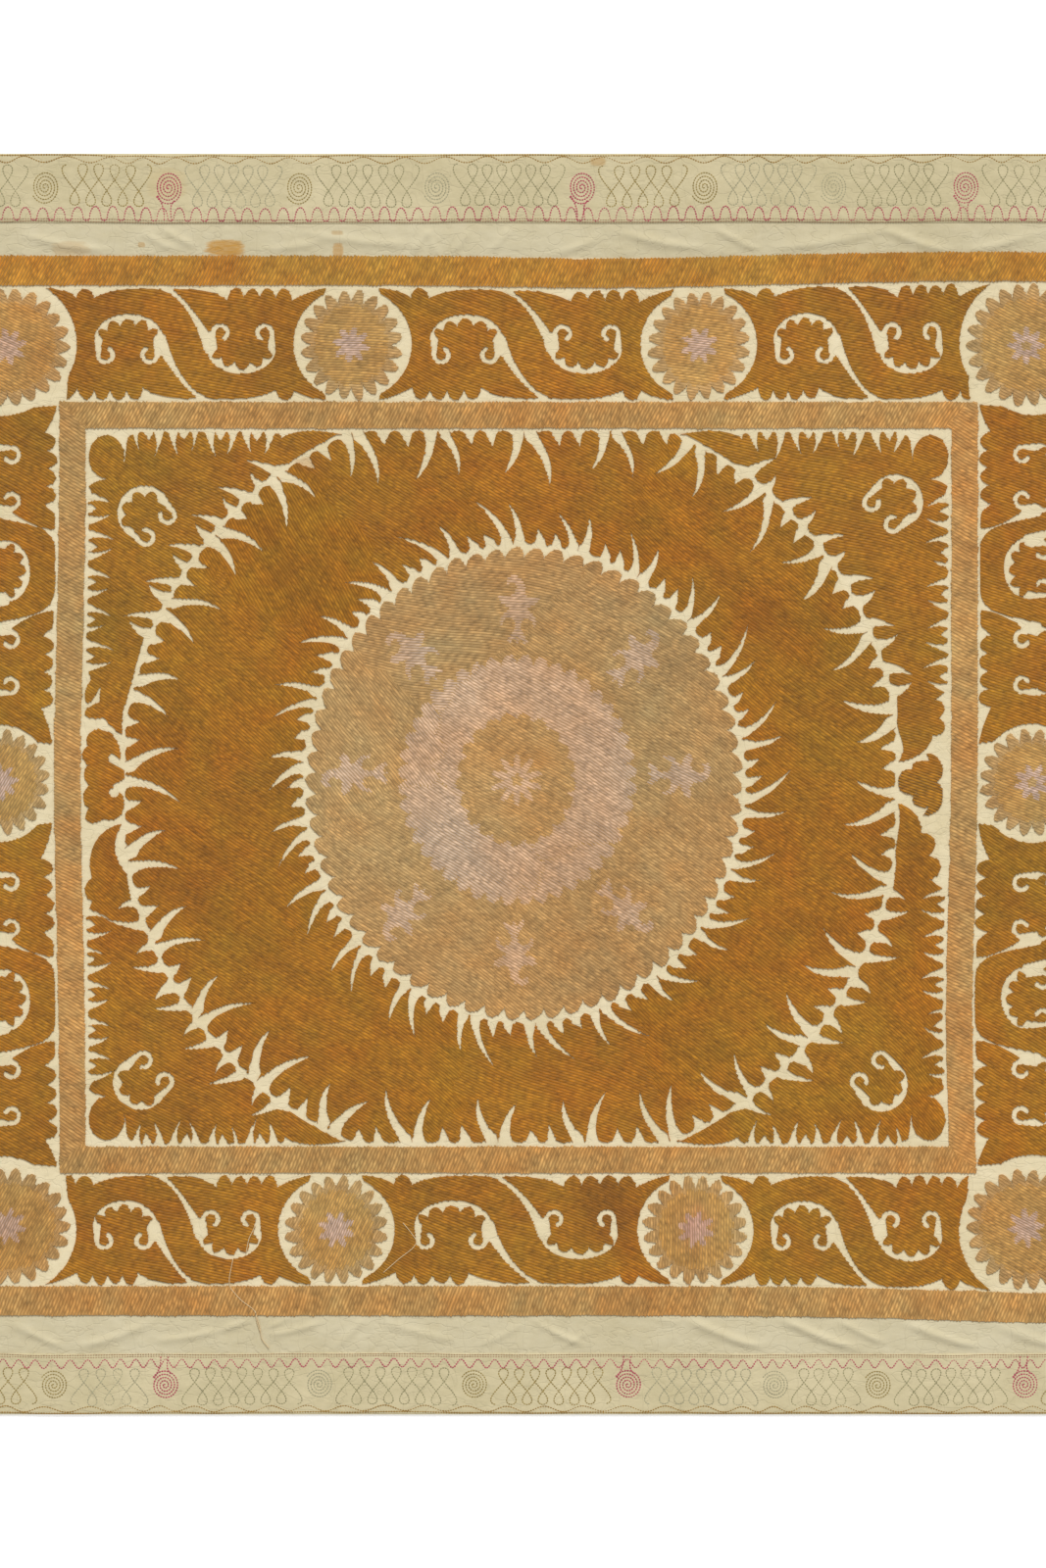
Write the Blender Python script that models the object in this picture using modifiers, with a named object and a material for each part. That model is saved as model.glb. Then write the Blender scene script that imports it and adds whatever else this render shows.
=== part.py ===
"""Suzani wall cloth, lying flat: cotton ground, four sewn-on trims and the laid embroidery as low relief.

Layout sizes are in millimetres, seen from above with the middle of the cloth at 0, 0.
They become metres where a solid is made. Up is +Z and the underside rests on z = 0.
"""

import bpy
import bmesh
import numpy as np

MM = 0.001

# Driving dimensions of the cloth.
HALF_LENGTH = 805.0
HALF_WIDTH = 725.0
CLOTH_THICK = 1.5
LAYER_GAP = 0.3
STITCH_THICK = 1.0
TRIM_THICK = 1.2
PLAY = 1.0

# Inner edges of the trims, then the edges of the two worked bands.
TRIM_IN = {"top": 645.0, "bottom": -655.0, "side": 731.0}
OUTER_BAND = {"left": -692.0, "right": 692.0, "bottom": -611.0, "top": 607.0, "width": 33.0}
INNER_BAND = {"left": -523.0, "right": 532.0, "bottom": -447.0, "top": 439.0, "width": 29.5}

# Middle field: its centre, the medallion and the two edges of the wreath.
FIELD = np.array([-4.0, -3.0])
MEDALLION = np.array([11.0, 1.0])
MEDALLION_RADII = np.array([251.0, 272.0])
MEDALLION_SCALLOPS = 66
SCALLOP_DEPTH = 13.0
WHITE_GAP = 3.5
WREATH_RADIUS = 447.0
WREATH_TOP = 409.0
WREATH_SIDE = 441.5
WREATH_UNITS_IN = 22
WREATH_UNITS_OUT = 28
CORNER_RADIUS = 452.0

# Puckers of the plain strip: tallest rise, sideways lean, and points along each side of a ring.
RIPPLE_RISE = 4.2
RIPPLE_LEAN = 4.0
RING_LONG = 18
RING_SHORT = 14

# Points along one bend, one lobe and one thorn side of the solids.
BEND = 3
CURL = 3
LOBE = 1
PETAL = 2
THORN = 2

# Slow shifts of the hand-drawn layout: middle x, middle y, reach x, reach y, shift x, shift y.
DRIFTS = (
    (100.0, 590.0, 150.0, 60.0, 0.0, -3.4),
    (520.0, 590.0, 200.0, 60.0, 0.0, 5.0),
    (700.0, -600.0, 260.0, 70.0, 0.0, -10.0),
    (-508.0, 0.0, 60.0, 210.0, -6.5, 0.0),
    (518.0, -260.0, 60.0, 170.0, -6.5, 0.0),
)

# Worked rosettes: name, centre x, centre y, radius x, radius y, petals.
ROSETTES = (
    ("rosette_top_1", -583.0, 503.0, 72.0, 68.5, 22),
    ("rosette_top_2", -188.0, 505.0, 59.0, 63.5, 20),
    ("rosette_top_3", 212.0, 505.0, 59.0, 63.5, 20),
    ("rosette_top_4", 588.0, 503.5, 68.5, 68.5, 22),
    ("rosette_left", -590.0, 2.0, 62.0, 61.0, 20),
    ("rosette_right", 595.0, 2.0, 60.0, 62.0, 20),
    ("rosette_bottom_1", -583.0, -509.0, 72.0, 67.0, 22),
    ("rosette_bottom_2", -205.0, -512.5, 59.0, 62.5, 20),
    ("rosette_bottom_3", 208.0, -512.5, 60.0, 62.5, 20),
    ("rosette_bottom_4", 588.0, -508.5, 68.5, 65.5, 22),
)
PETAL_DEPTH = 14.0

# Scroll blocks: name, centre x, y, half length, half width, turn, units, corner end, outer side.
BLOCKS = (
    ("scroll_top_1", -379.0, 506.5, 124.0, 64.0, 0.0, 2, -1, 1),
    ("scroll_top_2", 13.0, 506.5, 131.0, 64.0, 0.0, 2, 0, 1),
    ("scroll_top_3", 395.0, 506.5, 116.0, 64.0, 0.0, 2, 1, 1),
    ("scroll_bottom_1", -388.0, -512.5, 115.5, 62.5, 0.0, 2, -1, -1),
    ("scroll_bottom_2", 1.5, -512.5, 139.0, 62.5, 0.0, 2, 0, -1),
    ("scroll_bottom_3", 393.0, -513.0, 118.0, 62.5, 0.0, 2, 1, -1),
    ("scroll_left_upper", -591.0, 246.0, 177.0, 64.5, -90.0, 3, -1, -1),
    ("scroll_left_lower", -591.0, -247.0, 180.0, 64.5, -90.0, 3, 1, -1),
    ("scroll_right_upper", 595.5, 247.0, 177.0, 61.0, 90.0, 3, 1, -1),
    ("scroll_right_lower", 595.5, -247.0, 179.0, 61.0, 90.0, 3, -1, -1),
)
OUTER_TIP = 36.0
INNER_TIP = 12.0
TIP_OF_TWO = 30.0
TIP_OF_THREE = 18.0
CORNER_RING = 80.0
SIDE_RING = 67.0

# A scroll block as drawn, before it is fitted to its own width: edge, scallop valleys, leaf offset.
BLOCK_EDGE = 66.0
LEAF_DROP = 6.0
BASE_VALLEY = 51.0

# Corner fields: name, sign x, sign y, curled leaf centre x, y.
CORNERS = (
    ("corner_field_top_left", -1, 1, -426.0, 311.0),
    ("corner_field_top_right", 1, 1, 437.0, 326.0),
    ("corner_field_bottom_left", -1, -1, -429.0, -344.0),
    ("corner_field_bottom_right", 1, -1, 423.0, -344.0),
)
LEAF_RADIUS = 32.0
FRAME_GAP = 4.5
SPEAR_LENGTH = 72.0

# Ends of the corner fields beside the small flowers, as distance from the band and height above the
# middle line: ring height, pulls and tip of the ring side, pulls of the band side, valleys up that
# side, lobe height, and how far the last thorn of the rim stays off.
FIELD_ENDS = {
    "corner_field_top_left": (
        97.0, ((44, 88), (43, 74), (44.5, 60)), ((38, 65), (31, 71)), ((25, 80), (20, 97)), 18.0, 70.0,
    ),
    "corner_field_top_right": (
        82.0, ((66, 60), (46, 48), (61, 29)), ((40, 32), (24, 44)), ((22, 60), (15.5, 79), (21.5, 99)),
        11.0, 10.0,
    ),
    "corner_field_bottom_left": (
        100.0, ((34, 84), (32, 62), (44, 43)), ((26, 46), (3, 66)), ((11.8, 106), (12, 131)), 8.0, 18.0,
    ),
    "corner_field_bottom_right": (
        88.0, ((67, 66), (54, 38), (61.5, 19.5)), ((50, 22), (34, 32)),
        ((34.5, 54), (27.5, 80), (24.5, 107)), 15.0, 16.0,
    ),
}

# Finger at the foot of the top left field, beside its round lobe.
FINGER = ((21.5, 117), (13, 105), (8, 100), (4.5, 105), (11, 124))

# Valleys between the lobes of the small leaf at the left, from its foot upward.
LEFT_FLOWER_VALLEYS = (
    (-470.0, -40.0), (-483.0, -27.0), (-481.5, -1.0), (-482.0, 22.0), (-484.0, 44.0), (-471.0, 62.0),
)

# Curls at the ends of the unworked horn lines.
CURL_RADIUS = 11.0
CURL_THICK = 6.5

# One unit of thorns along an edge: place in the unit, length, lean, bend, width at the foot.
WREATH_TEETH_IN = (
    (0.10, 44.0, -0.10, 0.30, 7.0),
    (0.25, 46.0, 0.25, 0.45, 7.0),
    (0.52, 16.0, 0.30, 0.0, 9.0),
    (0.77, 15.0, 0.30, 0.0, 9.0),
)
WREATH_TEETH_OUT = (
    (0.10, 54.0, 0.05, -0.30, 7.5),
    (0.21, 54.0, 0.75, -0.35, 7.5),
    (0.52, 18.0, 0.10, 0.0, 10.0),
    (0.76, 17.0, 0.10, 0.0, 10.0),
)
FRAME_TEETH = (
    (0.10, 26.0, 0.05, 0.22, 7.0),
    (0.40, 11.0, 0.0, 0.0, 9.0),
    (0.71, 26.0, -0.05, -0.22, 7.0),
)
RIM_TEETH = (
    (0.20, 29.0, 0.10, 0.15, 7.0),
    (0.70, 22.0, -0.15, -0.10, 8.0),
)
LONG_THORN = 24.0


def start_clean():
    """Takes out whatever the opened file holds."""
    for thing in list(bpy.data.objects):
        bpy.data.objects.remove(thing)


def arc(centre, radii, start, sweep, steps):
    """Points on an ellipse about the centre, from the start angle through the sweep, in degrees."""
    angle = np.radians(start + sweep * np.linspace(0, 1, steps + 1))
    return np.array(centre) + np.array(radii) * np.column_stack([np.cos(angle), np.sin(angle)])


def bend(first, pull_first, pull_last, last, steps):
    """Points on the cubic curve between two ends, drawn towards two pull points."""
    t = np.linspace(0, 1, steps + 1)[:, None]
    s = 1 - t
    first, pull_first, pull_last, last = map(np.array, (first, pull_first, pull_last, last))
    return s**3 * first + 3 * s**2 * t * pull_first + 3 * s * t**2 * pull_last + t**3 * last


def lobed(valleys, height, steps, lean=0.0):
    """Round lobes from each valley point to the next, standing out to the left of the way.

    At share t of a lobe the outline stands out by height * sin(pi t)^0.6.
    """
    share = 0.5 + 0.8 * ((np.arange(steps) + 0.5) / steps - 0.5)
    swell = np.sin(np.pi * share)
    rows = []
    for here, there in zip(valleys[:-1], valleys[1:]):
        along = there - here
        outward = np.array([-along[1], along[0]]) / np.linalg.norm(along)
        tops = here + along * (share + lean * swell)[:, None] + outward * (height * swell**0.6)[:, None]
        rows.append(np.vstack([here, tops]))
    rows.append(valleys[-1:])
    return np.vstack(rows)


class Edge:
    """An edge that thorns are let into, measured by length along it. The work lies to its right."""

    def __init__(self, points, closed):
        self.points = np.vstack([points, points[:1]]) if closed else np.array(points)
        steps = np.linalg.norm(np.diff(self.points, axis=0), axis=1)
        self.places = np.concatenate([[0.0], np.cumsum(steps)])
        self.length = self.places[-1]
        self.closed = closed

    def at(self, place):
        """Point at a length along the edge."""
        place = place % self.length if self.closed else np.clip(place, 0.0, self.length)
        return np.array([np.interp(place, self.places, self.points[:, k]) for k in (0, 1)])

    def frame(self, place):
        """Point, direction along, and direction into the work at a length along the edge."""
        along = self.at(place + 2.0) - self.at(place - 2.0)
        along = along / np.linalg.norm(along)
        return self.at(place), along, np.array([along[1], -along[0]])


def toothed(edge, teeth):
    """Outline along an edge with unworked thorns let into it, the long ones bent.

    A thorn's middle line is foot + into * length * t + along * length * (lean t + bow t^2).
    Its half width, square to that line, is width / 2 * (1 - t^2.5).
    """
    rows = []
    for place, length, lean, bow, width in teeth:
        t = np.linspace(0, 1, (THORN if length > LONG_THORN else 1) + 1)[:, None]
        foot, along, into = edge.frame(place)
        middle = foot + into * length * t + along * length * (lean * t + bow * t**2)
        way = into + along * (lean + 2 * bow * t)
        square = np.column_stack([-way[:, 1], way[:, 0]]) / np.linalg.norm(way, axis=1)[:, None]
        half = square * width / 2 * (1 - t**2.5)
        rows.append(middle - half)
        rows.append((middle + half)[-2::-1])
    return np.vstack(rows)


def repeated(edge, pattern, count, start=0.0, end=0.0):
    """Thorn rows for equal units along an edge, from the one pattern of a unit."""
    unit = (edge.length - start - end) / count
    return [(start + unit * (k + row[0]), *row[1:]) for k in range(count) for row in pattern]


def drifted(points):
    """The layout as the hand drew it: soft shifts added round the places in DRIFTS."""
    moved = np.array(points, float)
    for x, y, reach_x, reach_y, shift_x, shift_y in DRIFTS:
        far = ((points[:, 0] - x) / reach_x) ** 2 + ((points[:, 1] - y) / reach_y) ** 2
        moved += np.exp(-far)[:, None] * (shift_x, shift_y)
    return moved


def placed(points, degrees, centre):
    """Points turned about 0, 0 and moved to the centre."""
    angle = np.radians(degrees)
    turn = np.array([[np.cos(angle), np.sin(angle)], [-np.sin(angle), np.cos(angle)]])
    return points @ turn + np.array(centre)


def mirrored(points):
    """Points mirrored left to right and taken in the opposite order."""
    return (points * (-1.0, 1.0))[::-1]


def curl(centre, start, end):
    """Hooked end of an unworked line: along its outer side, round its blunt tip and back inside."""
    outer = arc(centre, (CURL_RADIUS, CURL_RADIUS), start, end - start, CURL)
    blunt = CURL_RADIUS - CURL_THICK / 2
    tip = arc(centre, (blunt, blunt), end + 20.0, 0.0, 0)
    narrow = CURL_RADIUS - CURL_THICK
    inner = arc(centre, (narrow, narrow), end, start - end, CURL - 1)
    return np.vstack([outer, tip, inner])


def leaf_hollow(half, depth):
    """Unworked horn round a leaf that opens upward.

    Gives the far side of the horn from left to right, and the way back: curl, leaf lobes and curl.
    """
    far_side = arc((-1.5, 0.0), (half, depth), 184.0, 182.0, 2 * BEND)
    hook = curl((half - 18.0, depth * 0.62), 0.0, 226.0)
    valleys = arc((0.0, depth * 0.03), (half - 13.0, depth * 0.47), -4.0, -172.0, 4)
    return far_side, np.vstack([hook, lobed(valleys, depth * 0.38, LOBE), mirrored(hook)])


def scroll_inlet(half, reach):
    """Unworked way into a block: down from the arch, round the leaf, and up to the base's tip."""
    down = bend((-reach - 12, 71), (-reach + 16, 70), (-half - 17, 35), (-half - 4, -4), BEND + 1)
    up = bend((-half + 3, 15), (-half - 4, 24), (-half - 14, 52), (-reach + 11, 70), BEND)
    far_side, back = leaf_hollow(half, 30.0)
    return np.vstack([down, far_side[1:], back[1:-1], up])


def scroll_slit(half, reach):
    """The same way in, stopped short of the leaf so that the block stays in one piece."""
    down = bend((-reach - 12, 71), (-reach + 10, 70), (-reach + 12, 55), (-half - 17, 31), BEND)
    up = bend((-half - 14, 34), (-half - 14, 40), (-half - 14, 56), (-reach + 11, 70), BEND - 1)
    return np.vstack([down, up])


def base_edge(first, last, lobes):
    """Scalloped edge of a base between its two outermost valleys."""
    valleys = np.array([(u, BASE_VALLEY) for u in np.linspace(first, last, lobes + 1)])
    return lobed(valleys, BLOCK_EDGE - BASE_VALLEY, LOBE)


def wing(valley, tip):
    """Edge from the last valley of a base out to the block's tip."""
    reach = tip - valley
    pulls = (valley + 0.3 * reach, 58), (valley + 0.7 * reach, 64)
    return bend((valley, BASE_VALLEY), *pulls, (tip, 66), 2)[1:]


def wave(tip, valley):
    """Edge from a base's own tip to its first valley."""
    return bend((tip, 64), (tip + 26, 66), (valley - 13, 62), (valley, BASE_VALLEY), BEND)[1:-1]


def arch_end(tip, length):
    """Edge from a block's tip over its round bud to the start of the arch."""
    start = bend((-tip, 66), (-tip + 12, 65), (-length - 6, 61), (-length - 1, 54), 2)
    bud = lobed(np.array([(-length - 1.0, 54.0), (-length + 19.0, 54.0)]), 12.0, 2)
    rise = bend((-length + 19, 54), (-length + 34, 62), (-length + 50, 65), (-length + 70, 65), 2)
    return np.vstack([start[:-1], bud, rise[1:]])


def end_arc(length, corner, upper_tip, lower_tip):
    """Hollow end of a block round the ring of a rosette, from near its upper tip to near its lower."""
    ring = CORNER_RING if corner else SIDE_RING
    upper, lower = (np.degrees(np.arccos(1 - (tip - 4.0) / ring)) for tip in (upper_tip, lower_tip))
    return arc((length + ring, 0.0), (ring, ring), 180.0 - upper, upper + lower, BEND + 2)


def side_of_two(length, first_tip, last_tip):
    """Long side of a block of two units: bud, arch, way in, then the scalloped base."""
    scale = length / 124.0
    reach = 90.0 * scale
    last = np.array([66.0 * scale, -LEAF_DROP])
    valley = last[0] - 17.0 * scale
    lead = np.vstack([arch_end(length + first_tip, length), scroll_inlet(40.0 * scale, reach) + last])
    base = np.vstack([wave(last[0] - reach + 11, valley), base_edge(valley, length - 1, 4)])
    return np.vstack([lead, base, wing(length - 1, length + last_tip)])


def base_side_of_three(length, first_tip, last_tip):
    """Long side of a block of three units that has two bases and an arch between them."""
    last = np.array([0.6 * length, -LEAF_DROP])
    valley = last[0] - 30.0
    base = np.vstack([wave(last[0] - 59.0, valley), base_edge(valley, length - 19, 4)])
    half = np.vstack([scroll_inlet(41.0, 70.0) + last, base])
    first = mirrored(np.vstack([half, wing(length - 19, length + first_tip)]))
    return np.vstack([first, half, wing(length - 19, length + last_tip)])


def arch_side_of_three(length, first_tip, last_tip):
    """Other long side of that block: two arches and one base between them."""
    drop = np.array([0.0, -LEAF_DROP])
    edge = wave(-59.0, -30.0)
    first = np.vstack([arch_end(length + first_tip, length - 8), scroll_inlet(36.0, 70.0) + drop, edge])
    last = np.vstack([arch_end(length + last_tip, length - 8), scroll_slit(36.0, 70.0) + drop, edge])
    return np.vstack([first, base_edge(-30.0, 30.0, 4), mirrored(last)])


def block_outline(length, units, corner_end, outer_side):
    """Outline of a scroll block along its length; corner_end and outer_side are -1, 0 or 1.

    Its tips reach farthest on the outer side of a cloth corner and least on the inner side.
    """
    def tip(end, side):
        if end == corner_end:
            return OUTER_TIP if side == outer_side else INNER_TIP
        return TIP_OF_TWO if units == 2 else TIP_OF_THREE

    if units == 2:
        upper = side_of_two(length, tip(-1, 1), tip(1, 1))
        lower = side_of_two(length, tip(1, -1), tip(-1, -1))
    else:
        upper = base_side_of_three(length, tip(-1, 1), tip(1, 1))
        lower = arch_side_of_three(length, tip(1, -1), tip(-1, -1))
    last_end = end_arc(length, corner_end == 1, tip(1, 1), tip(1, -1))
    first_end = end_arc(length, corner_end == -1, tip(-1, -1), tip(-1, 1))
    return np.vstack([upper, last_end, -lower, -first_end])


def rosette_outline(radius_x, radius_y, petals):
    """Round flower with rounded petals."""
    valleys = arc((0.0, 0.0), (radius_x - PETAL_DEPTH, radius_y - PETAL_DEPTH), 90.0, -360.0, petals)
    return lobed(valleys, PETAL_DEPTH - 1.0, PETAL)[:-1]


def medallion_outline():
    """Scalloped oval, each scallop leaning with the clock."""
    radii = MEDALLION_RADII - SCALLOP_DEPTH
    valleys = arc(MEDALLION, radii, 90.0, -360.0, MEDALLION_SCALLOPS)
    return lobed(valleys, SCALLOP_DEPTH, LOBE, lean=0.14)[:-1]


def wreath_inner():
    """Inner outline of the wreath: lobes that face the medallion and thorns that point outward."""
    oval = arc(MEDALLION, MEDALLION_RADII + WHITE_GAP, 90.0, 360.0, 240)[:-1]
    edge = Edge(oval, True)
    return toothed(edge, repeated(edge, WREATH_TEETH_IN, WREATH_UNITS_IN))


def wreath_outer():
    """Outer outline of the wreath: a circle cut flat by the frame, with pairs of long thorns."""
    circle = arc((0.0, 0.0), (WREATH_RADIUS, WREATH_RADIUS), 90.0, -360.0, 360)[:-1]
    reach = np.array([WREATH_SIDE, WREATH_TOP])
    edge = Edge(np.clip(circle, -reach, reach) + FIELD, True)
    return toothed(edge, repeated(edge, WREATH_TEETH_OUT, WREATH_UNITS_OUT))


def field_end(name, rim_end, middle):
    """Leaf-shaped end of a corner field: down the ring side to its tip and up the band side in lobes."""
    _, ring_side, band_side, valleys, height, _ = FIELD_ENDS[name]
    up = np.array([0.0, middle])
    tip = np.array(ring_side[2]) + up
    valleys = np.array(valleys) + up
    down = bend(rim_end, *(np.array(ring_side[:2]) + up), tip, BEND)[1:]
    back = bend(tip, *(np.array(band_side) + up), valleys[0], BEND)[1:-1]
    end = [down, back, lobed(valleys, height, CURL)]
    if name == "corner_field_top_left":
        end.append(np.array(FINGER) + up)
    return np.vstack(end)


def corner_outline(name, sign_x, sign_y):
    """Outline of one corner field, drawn as the top left one and mirrored into its corner."""
    if sign_x > 0:
        inner_x = INNER_BAND["right"] - INNER_BAND["width"]
    else:
        inner_x = INNER_BAND["left"] + INNER_BAND["width"]
    if sign_y > 0:
        inner_y = INNER_BAND["top"] - INNER_BAND["width"]
    else:
        inner_y = INNER_BAND["bottom"] + INNER_BAND["width"]
    centre = np.array([abs(inner_x - FIELD[0]), -abs(inner_y - FIELD[1])])
    reach = np.sqrt(CORNER_RADIUS**2 - (centre[1] + FRAME_GAP) ** 2)
    spear = np.array([centre[0] - reach, -FRAME_GAP])
    end_height = FIELD_ENDS[name][0]
    end_angle = 180.0 - np.degrees(np.arcsin(end_height / CORNER_RADIUS))
    start = np.degrees(np.arctan2(spear[1] - centre[1], spear[0] - centre[0]))
    circle = arc(centre, (CORNER_RADIUS, CORNER_RADIUS), start, end_angle - start, 120)
    rim = Edge(circle, False)
    end = field_end(name, circle[-1], centre[1])
    side = Edge(np.array([(FRAME_GAP, end[-1][1]), (FRAME_GAP, -60.0)]), False)
    side_points = toothed(side, repeated(side, FRAME_TEETH, 5, 10.0))
    lobe = arc((24.4, -32.8), (20.0, 24.5), 235.0, -250.0, 6)
    top = Edge(np.array([(54.0, -FRAME_GAP), spear - (SPEAR_LENGTH, 0.0)]), False)
    top_points = toothed(top, repeated(top, FRAME_TEETH, 4))
    leaf_foot, leaf_tip = spear - (SPEAR_LENGTH, 9.0), spear - (0.0, 3.0)
    leaf = bend(leaf_foot, spear - (58.0, -3.0), spear - (30.0, -3.0), leaf_tip, BEND + 1)
    leaf_back = [rim.at(share * SPEAR_LENGTH) for share in (0.25, 0.5, 0.75, 1.0)]
    rim_points = toothed(rim, repeated(rim, RIM_TEETH, 6, 82.0, FIELD_ENDS[name][5]))
    points = np.vstack([side_points, lobe, top_points, leaf, leaf_back, rim_points, circle[-1:], end])
    return points * (-sign_x, sign_y) + (inner_x, inner_y)


def rectangle(left, right, bottom, top, long_steps, short_steps):
    """Closed rectangle, clockwise from its upper left corner, with even points along each side."""
    corners = [(left, top), (right, top), (right, bottom), (left, bottom), (left, top)]
    sides = []
    for k, (here, there) in enumerate(zip(corners[:-1], corners[1:])):
        share = np.linspace(0, 1, (long_steps if k % 2 == 0 else short_steps) + 1)[:-1, None]
        sides.append(np.array(here) + (np.array(there) - np.array(here)) * share)
    return np.vstack(sides)


def band_outlines(band):
    """Outer and inner outline of a straight-sided band worked round the cloth."""
    left, right, bottom, top = (band[key] for key in ("left", "right", "bottom", "top"))
    width = band["width"]
    outer = rectangle(left, right, bottom, top, 12, 8)
    inner = rectangle(left + width, right - width, bottom + width, top - width, 12, 8)
    return [outer, inner]


def left_flower():
    """Small leaf at the middle of the left side: five lobes, two hooks and a short stem."""
    foot = lobed(np.array(LEFT_FLOWER_VALLEYS[:2]), 14.0, CURL)
    lobes = lobed(np.array(LEFT_FLOWER_VALLEYS[1:]), 8.0, PETAL)
    upper = bend((-471.0, 62.0), (-458.0, 60.0), (-450.0, 46.0), (-451.0, 28.0), 3)[1:]
    upper_hook = arc((-459.0, 29.0), (5.0, 6.5), 30.0, 240.0, 3)
    stem = np.array([(-446.5, 15.5), (-446.5, 7.0), (-459.0, -1.0)])
    lower_hook = arc((-457.5, -9.5), (5.5, 6.0), 110.0, 250.0, 3)
    lower = bend((-449.0, -12.0), (-446.0, -20.0), (-445.0, -42.0), (-464.0, -41.0), 3)
    return np.vstack([foot[:-1], lobes, upper, upper_hook, stem, lower_hook, lower])


def right_flower():
    """Small fan at the middle of the right side: a round bud, two arms and two hooked wings."""
    bud = arc((453.5, 2.5), (12.5, 14.5), -60.0, -240.0, 6)
    upper = np.array([(463.5, 9.5), (455.0, 24.5), (467.0, 27.5), (478.0, 26.5), (474.0, 35.0)])
    wing_up = bend((474.0, 35.0), (486.0, 37.0), (494.0, 22.0), (492.0, 10.0), 3)[1:]
    wing_low = bend((492.0, -5.0), (495.0, -20.0), (490.0, -37.0), (470.0, -36.0), 3)
    lower = np.array([(477.0, -27.0), (465.0, -25.5), (455.0, -20.0), (464.0, -14.5), (463.5, -6.0)])
    return np.vstack([bud, upper, wing_up, (486.0, 2.5), wing_low, lower])


def layout():
    """Every worked piece as name, material and its closed outlines; a second outline is a hollow."""
    pieces = [("medallion", "tan_silk", [medallion_outline()])]
    pieces.append(("wreath", "brown_silk", [wreath_outer(), wreath_inner()]))
    for name, sign_x, sign_y, leaf_x, leaf_y in CORNERS:
        far_side, back = leaf_hollow(LEAF_RADIUS, LEAF_RADIUS)
        turn = sign_x * (90.0 + 45.0 * sign_y)
        hollow = placed(np.vstack([far_side, back[1:-1]]), turn, (leaf_x, leaf_y))
        pieces.append((name, "brown_silk", [corner_outline(name, sign_x, sign_y), hollow]))
    for name, x, y, radius_x, radius_y, petals in ROSETTES:
        pieces.append((name, "tan_silk", [rosette_outline(radius_x, radius_y, petals) + (x, y)]))
    for name, x, y, length, half_width, turn, units, corner_end, outer_side in BLOCKS:
        outline = block_outline(length, units, corner_end, outer_side) * (1.0, half_width / BLOCK_EDGE)
        pieces.append((name, "brown_silk", [placed(outline, turn, (x, y))]))
    pieces.append(("flower_left", "brown_silk", [left_flower()]))
    pieces.append(("flower_right", "brown_silk", [right_flower()]))
    pieces.append(("band_outer", "band_silk", band_outlines(OUTER_BAND)))
    pieces.append(("band_inner", "band_silk", band_outlines(INNER_BAND)))
    return [(name, slot, [drifted(line) for line in lines]) for name, slot, lines in pieces]


def silk_and_cotton():
    """One plain material for each kind of cloth and thread."""
    colours = {
        "ground_cotton": (0.78, 0.74, 0.60, 1.0),
        "trim_cotton": (0.74, 0.70, 0.54, 1.0),
        "brown_silk": (0.42, 0.22, 0.05, 1.0),
        "tan_silk": (0.55, 0.36, 0.18, 1.0),
        "band_silk": (0.52, 0.32, 0.13, 1.0),
    }
    materials = {}
    for name, colour in colours.items():
        material = bpy.data.materials.new(name)
        material.use_nodes = True
        material.node_tree.nodes["Principled BSDF"].inputs["Base Color"].default_value = colour
        material.node_tree.nodes["Principled BSDF"].inputs["Roughness"].default_value = 0.7
        materials[name] = material
    return materials


def slab(name, outlines, low, high, material, collection):
    """Flat solid between two heights, filled from closed outlines as one 2D curve."""
    curve = bpy.data.curves.new(name + "_outline", "CURVE")
    curve.dimensions = "2D"
    curve.fill_mode = "BOTH"
    curve.extrude = (high - low) / 2 * MM
    for outline in outlines:
        spline = curve.splines.new("POLY")
        spline.points.add(len(outline) - 1)
        for point, (x, y) in zip(spline.points, outline):
            point.co = (x * MM, y * MM, 0.0, 1.0)
        spline.use_cyclic_u = True
    drawing = bpy.data.objects.new(name + "_outline", curve)
    collection.objects.link(drawing)
    bpy.context.view_layer.update()
    mesh = bpy.data.meshes.new_from_object(drawing.evaluated_get(bpy.context.evaluated_depsgraph_get()))
    bpy.data.objects.remove(drawing)
    body = bmesh.new()
    body.from_mesh(mesh)
    bmesh.ops.remove_doubles(body, verts=body.verts, dist=1e-6)
    bmesh.ops.translate(body, verts=body.verts, vec=(0.0, 0.0, (low + high) / 2 * MM))
    bmesh.ops.recalc_face_normals(body, faces=body.faces)
    body.to_mesh(mesh)
    body.free()
    mesh.name = name
    mesh.materials.clear()
    mesh.materials.append(material)
    thing = bpy.data.objects.new(name, mesh)
    collection.objects.link(thing)
    return thing


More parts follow.
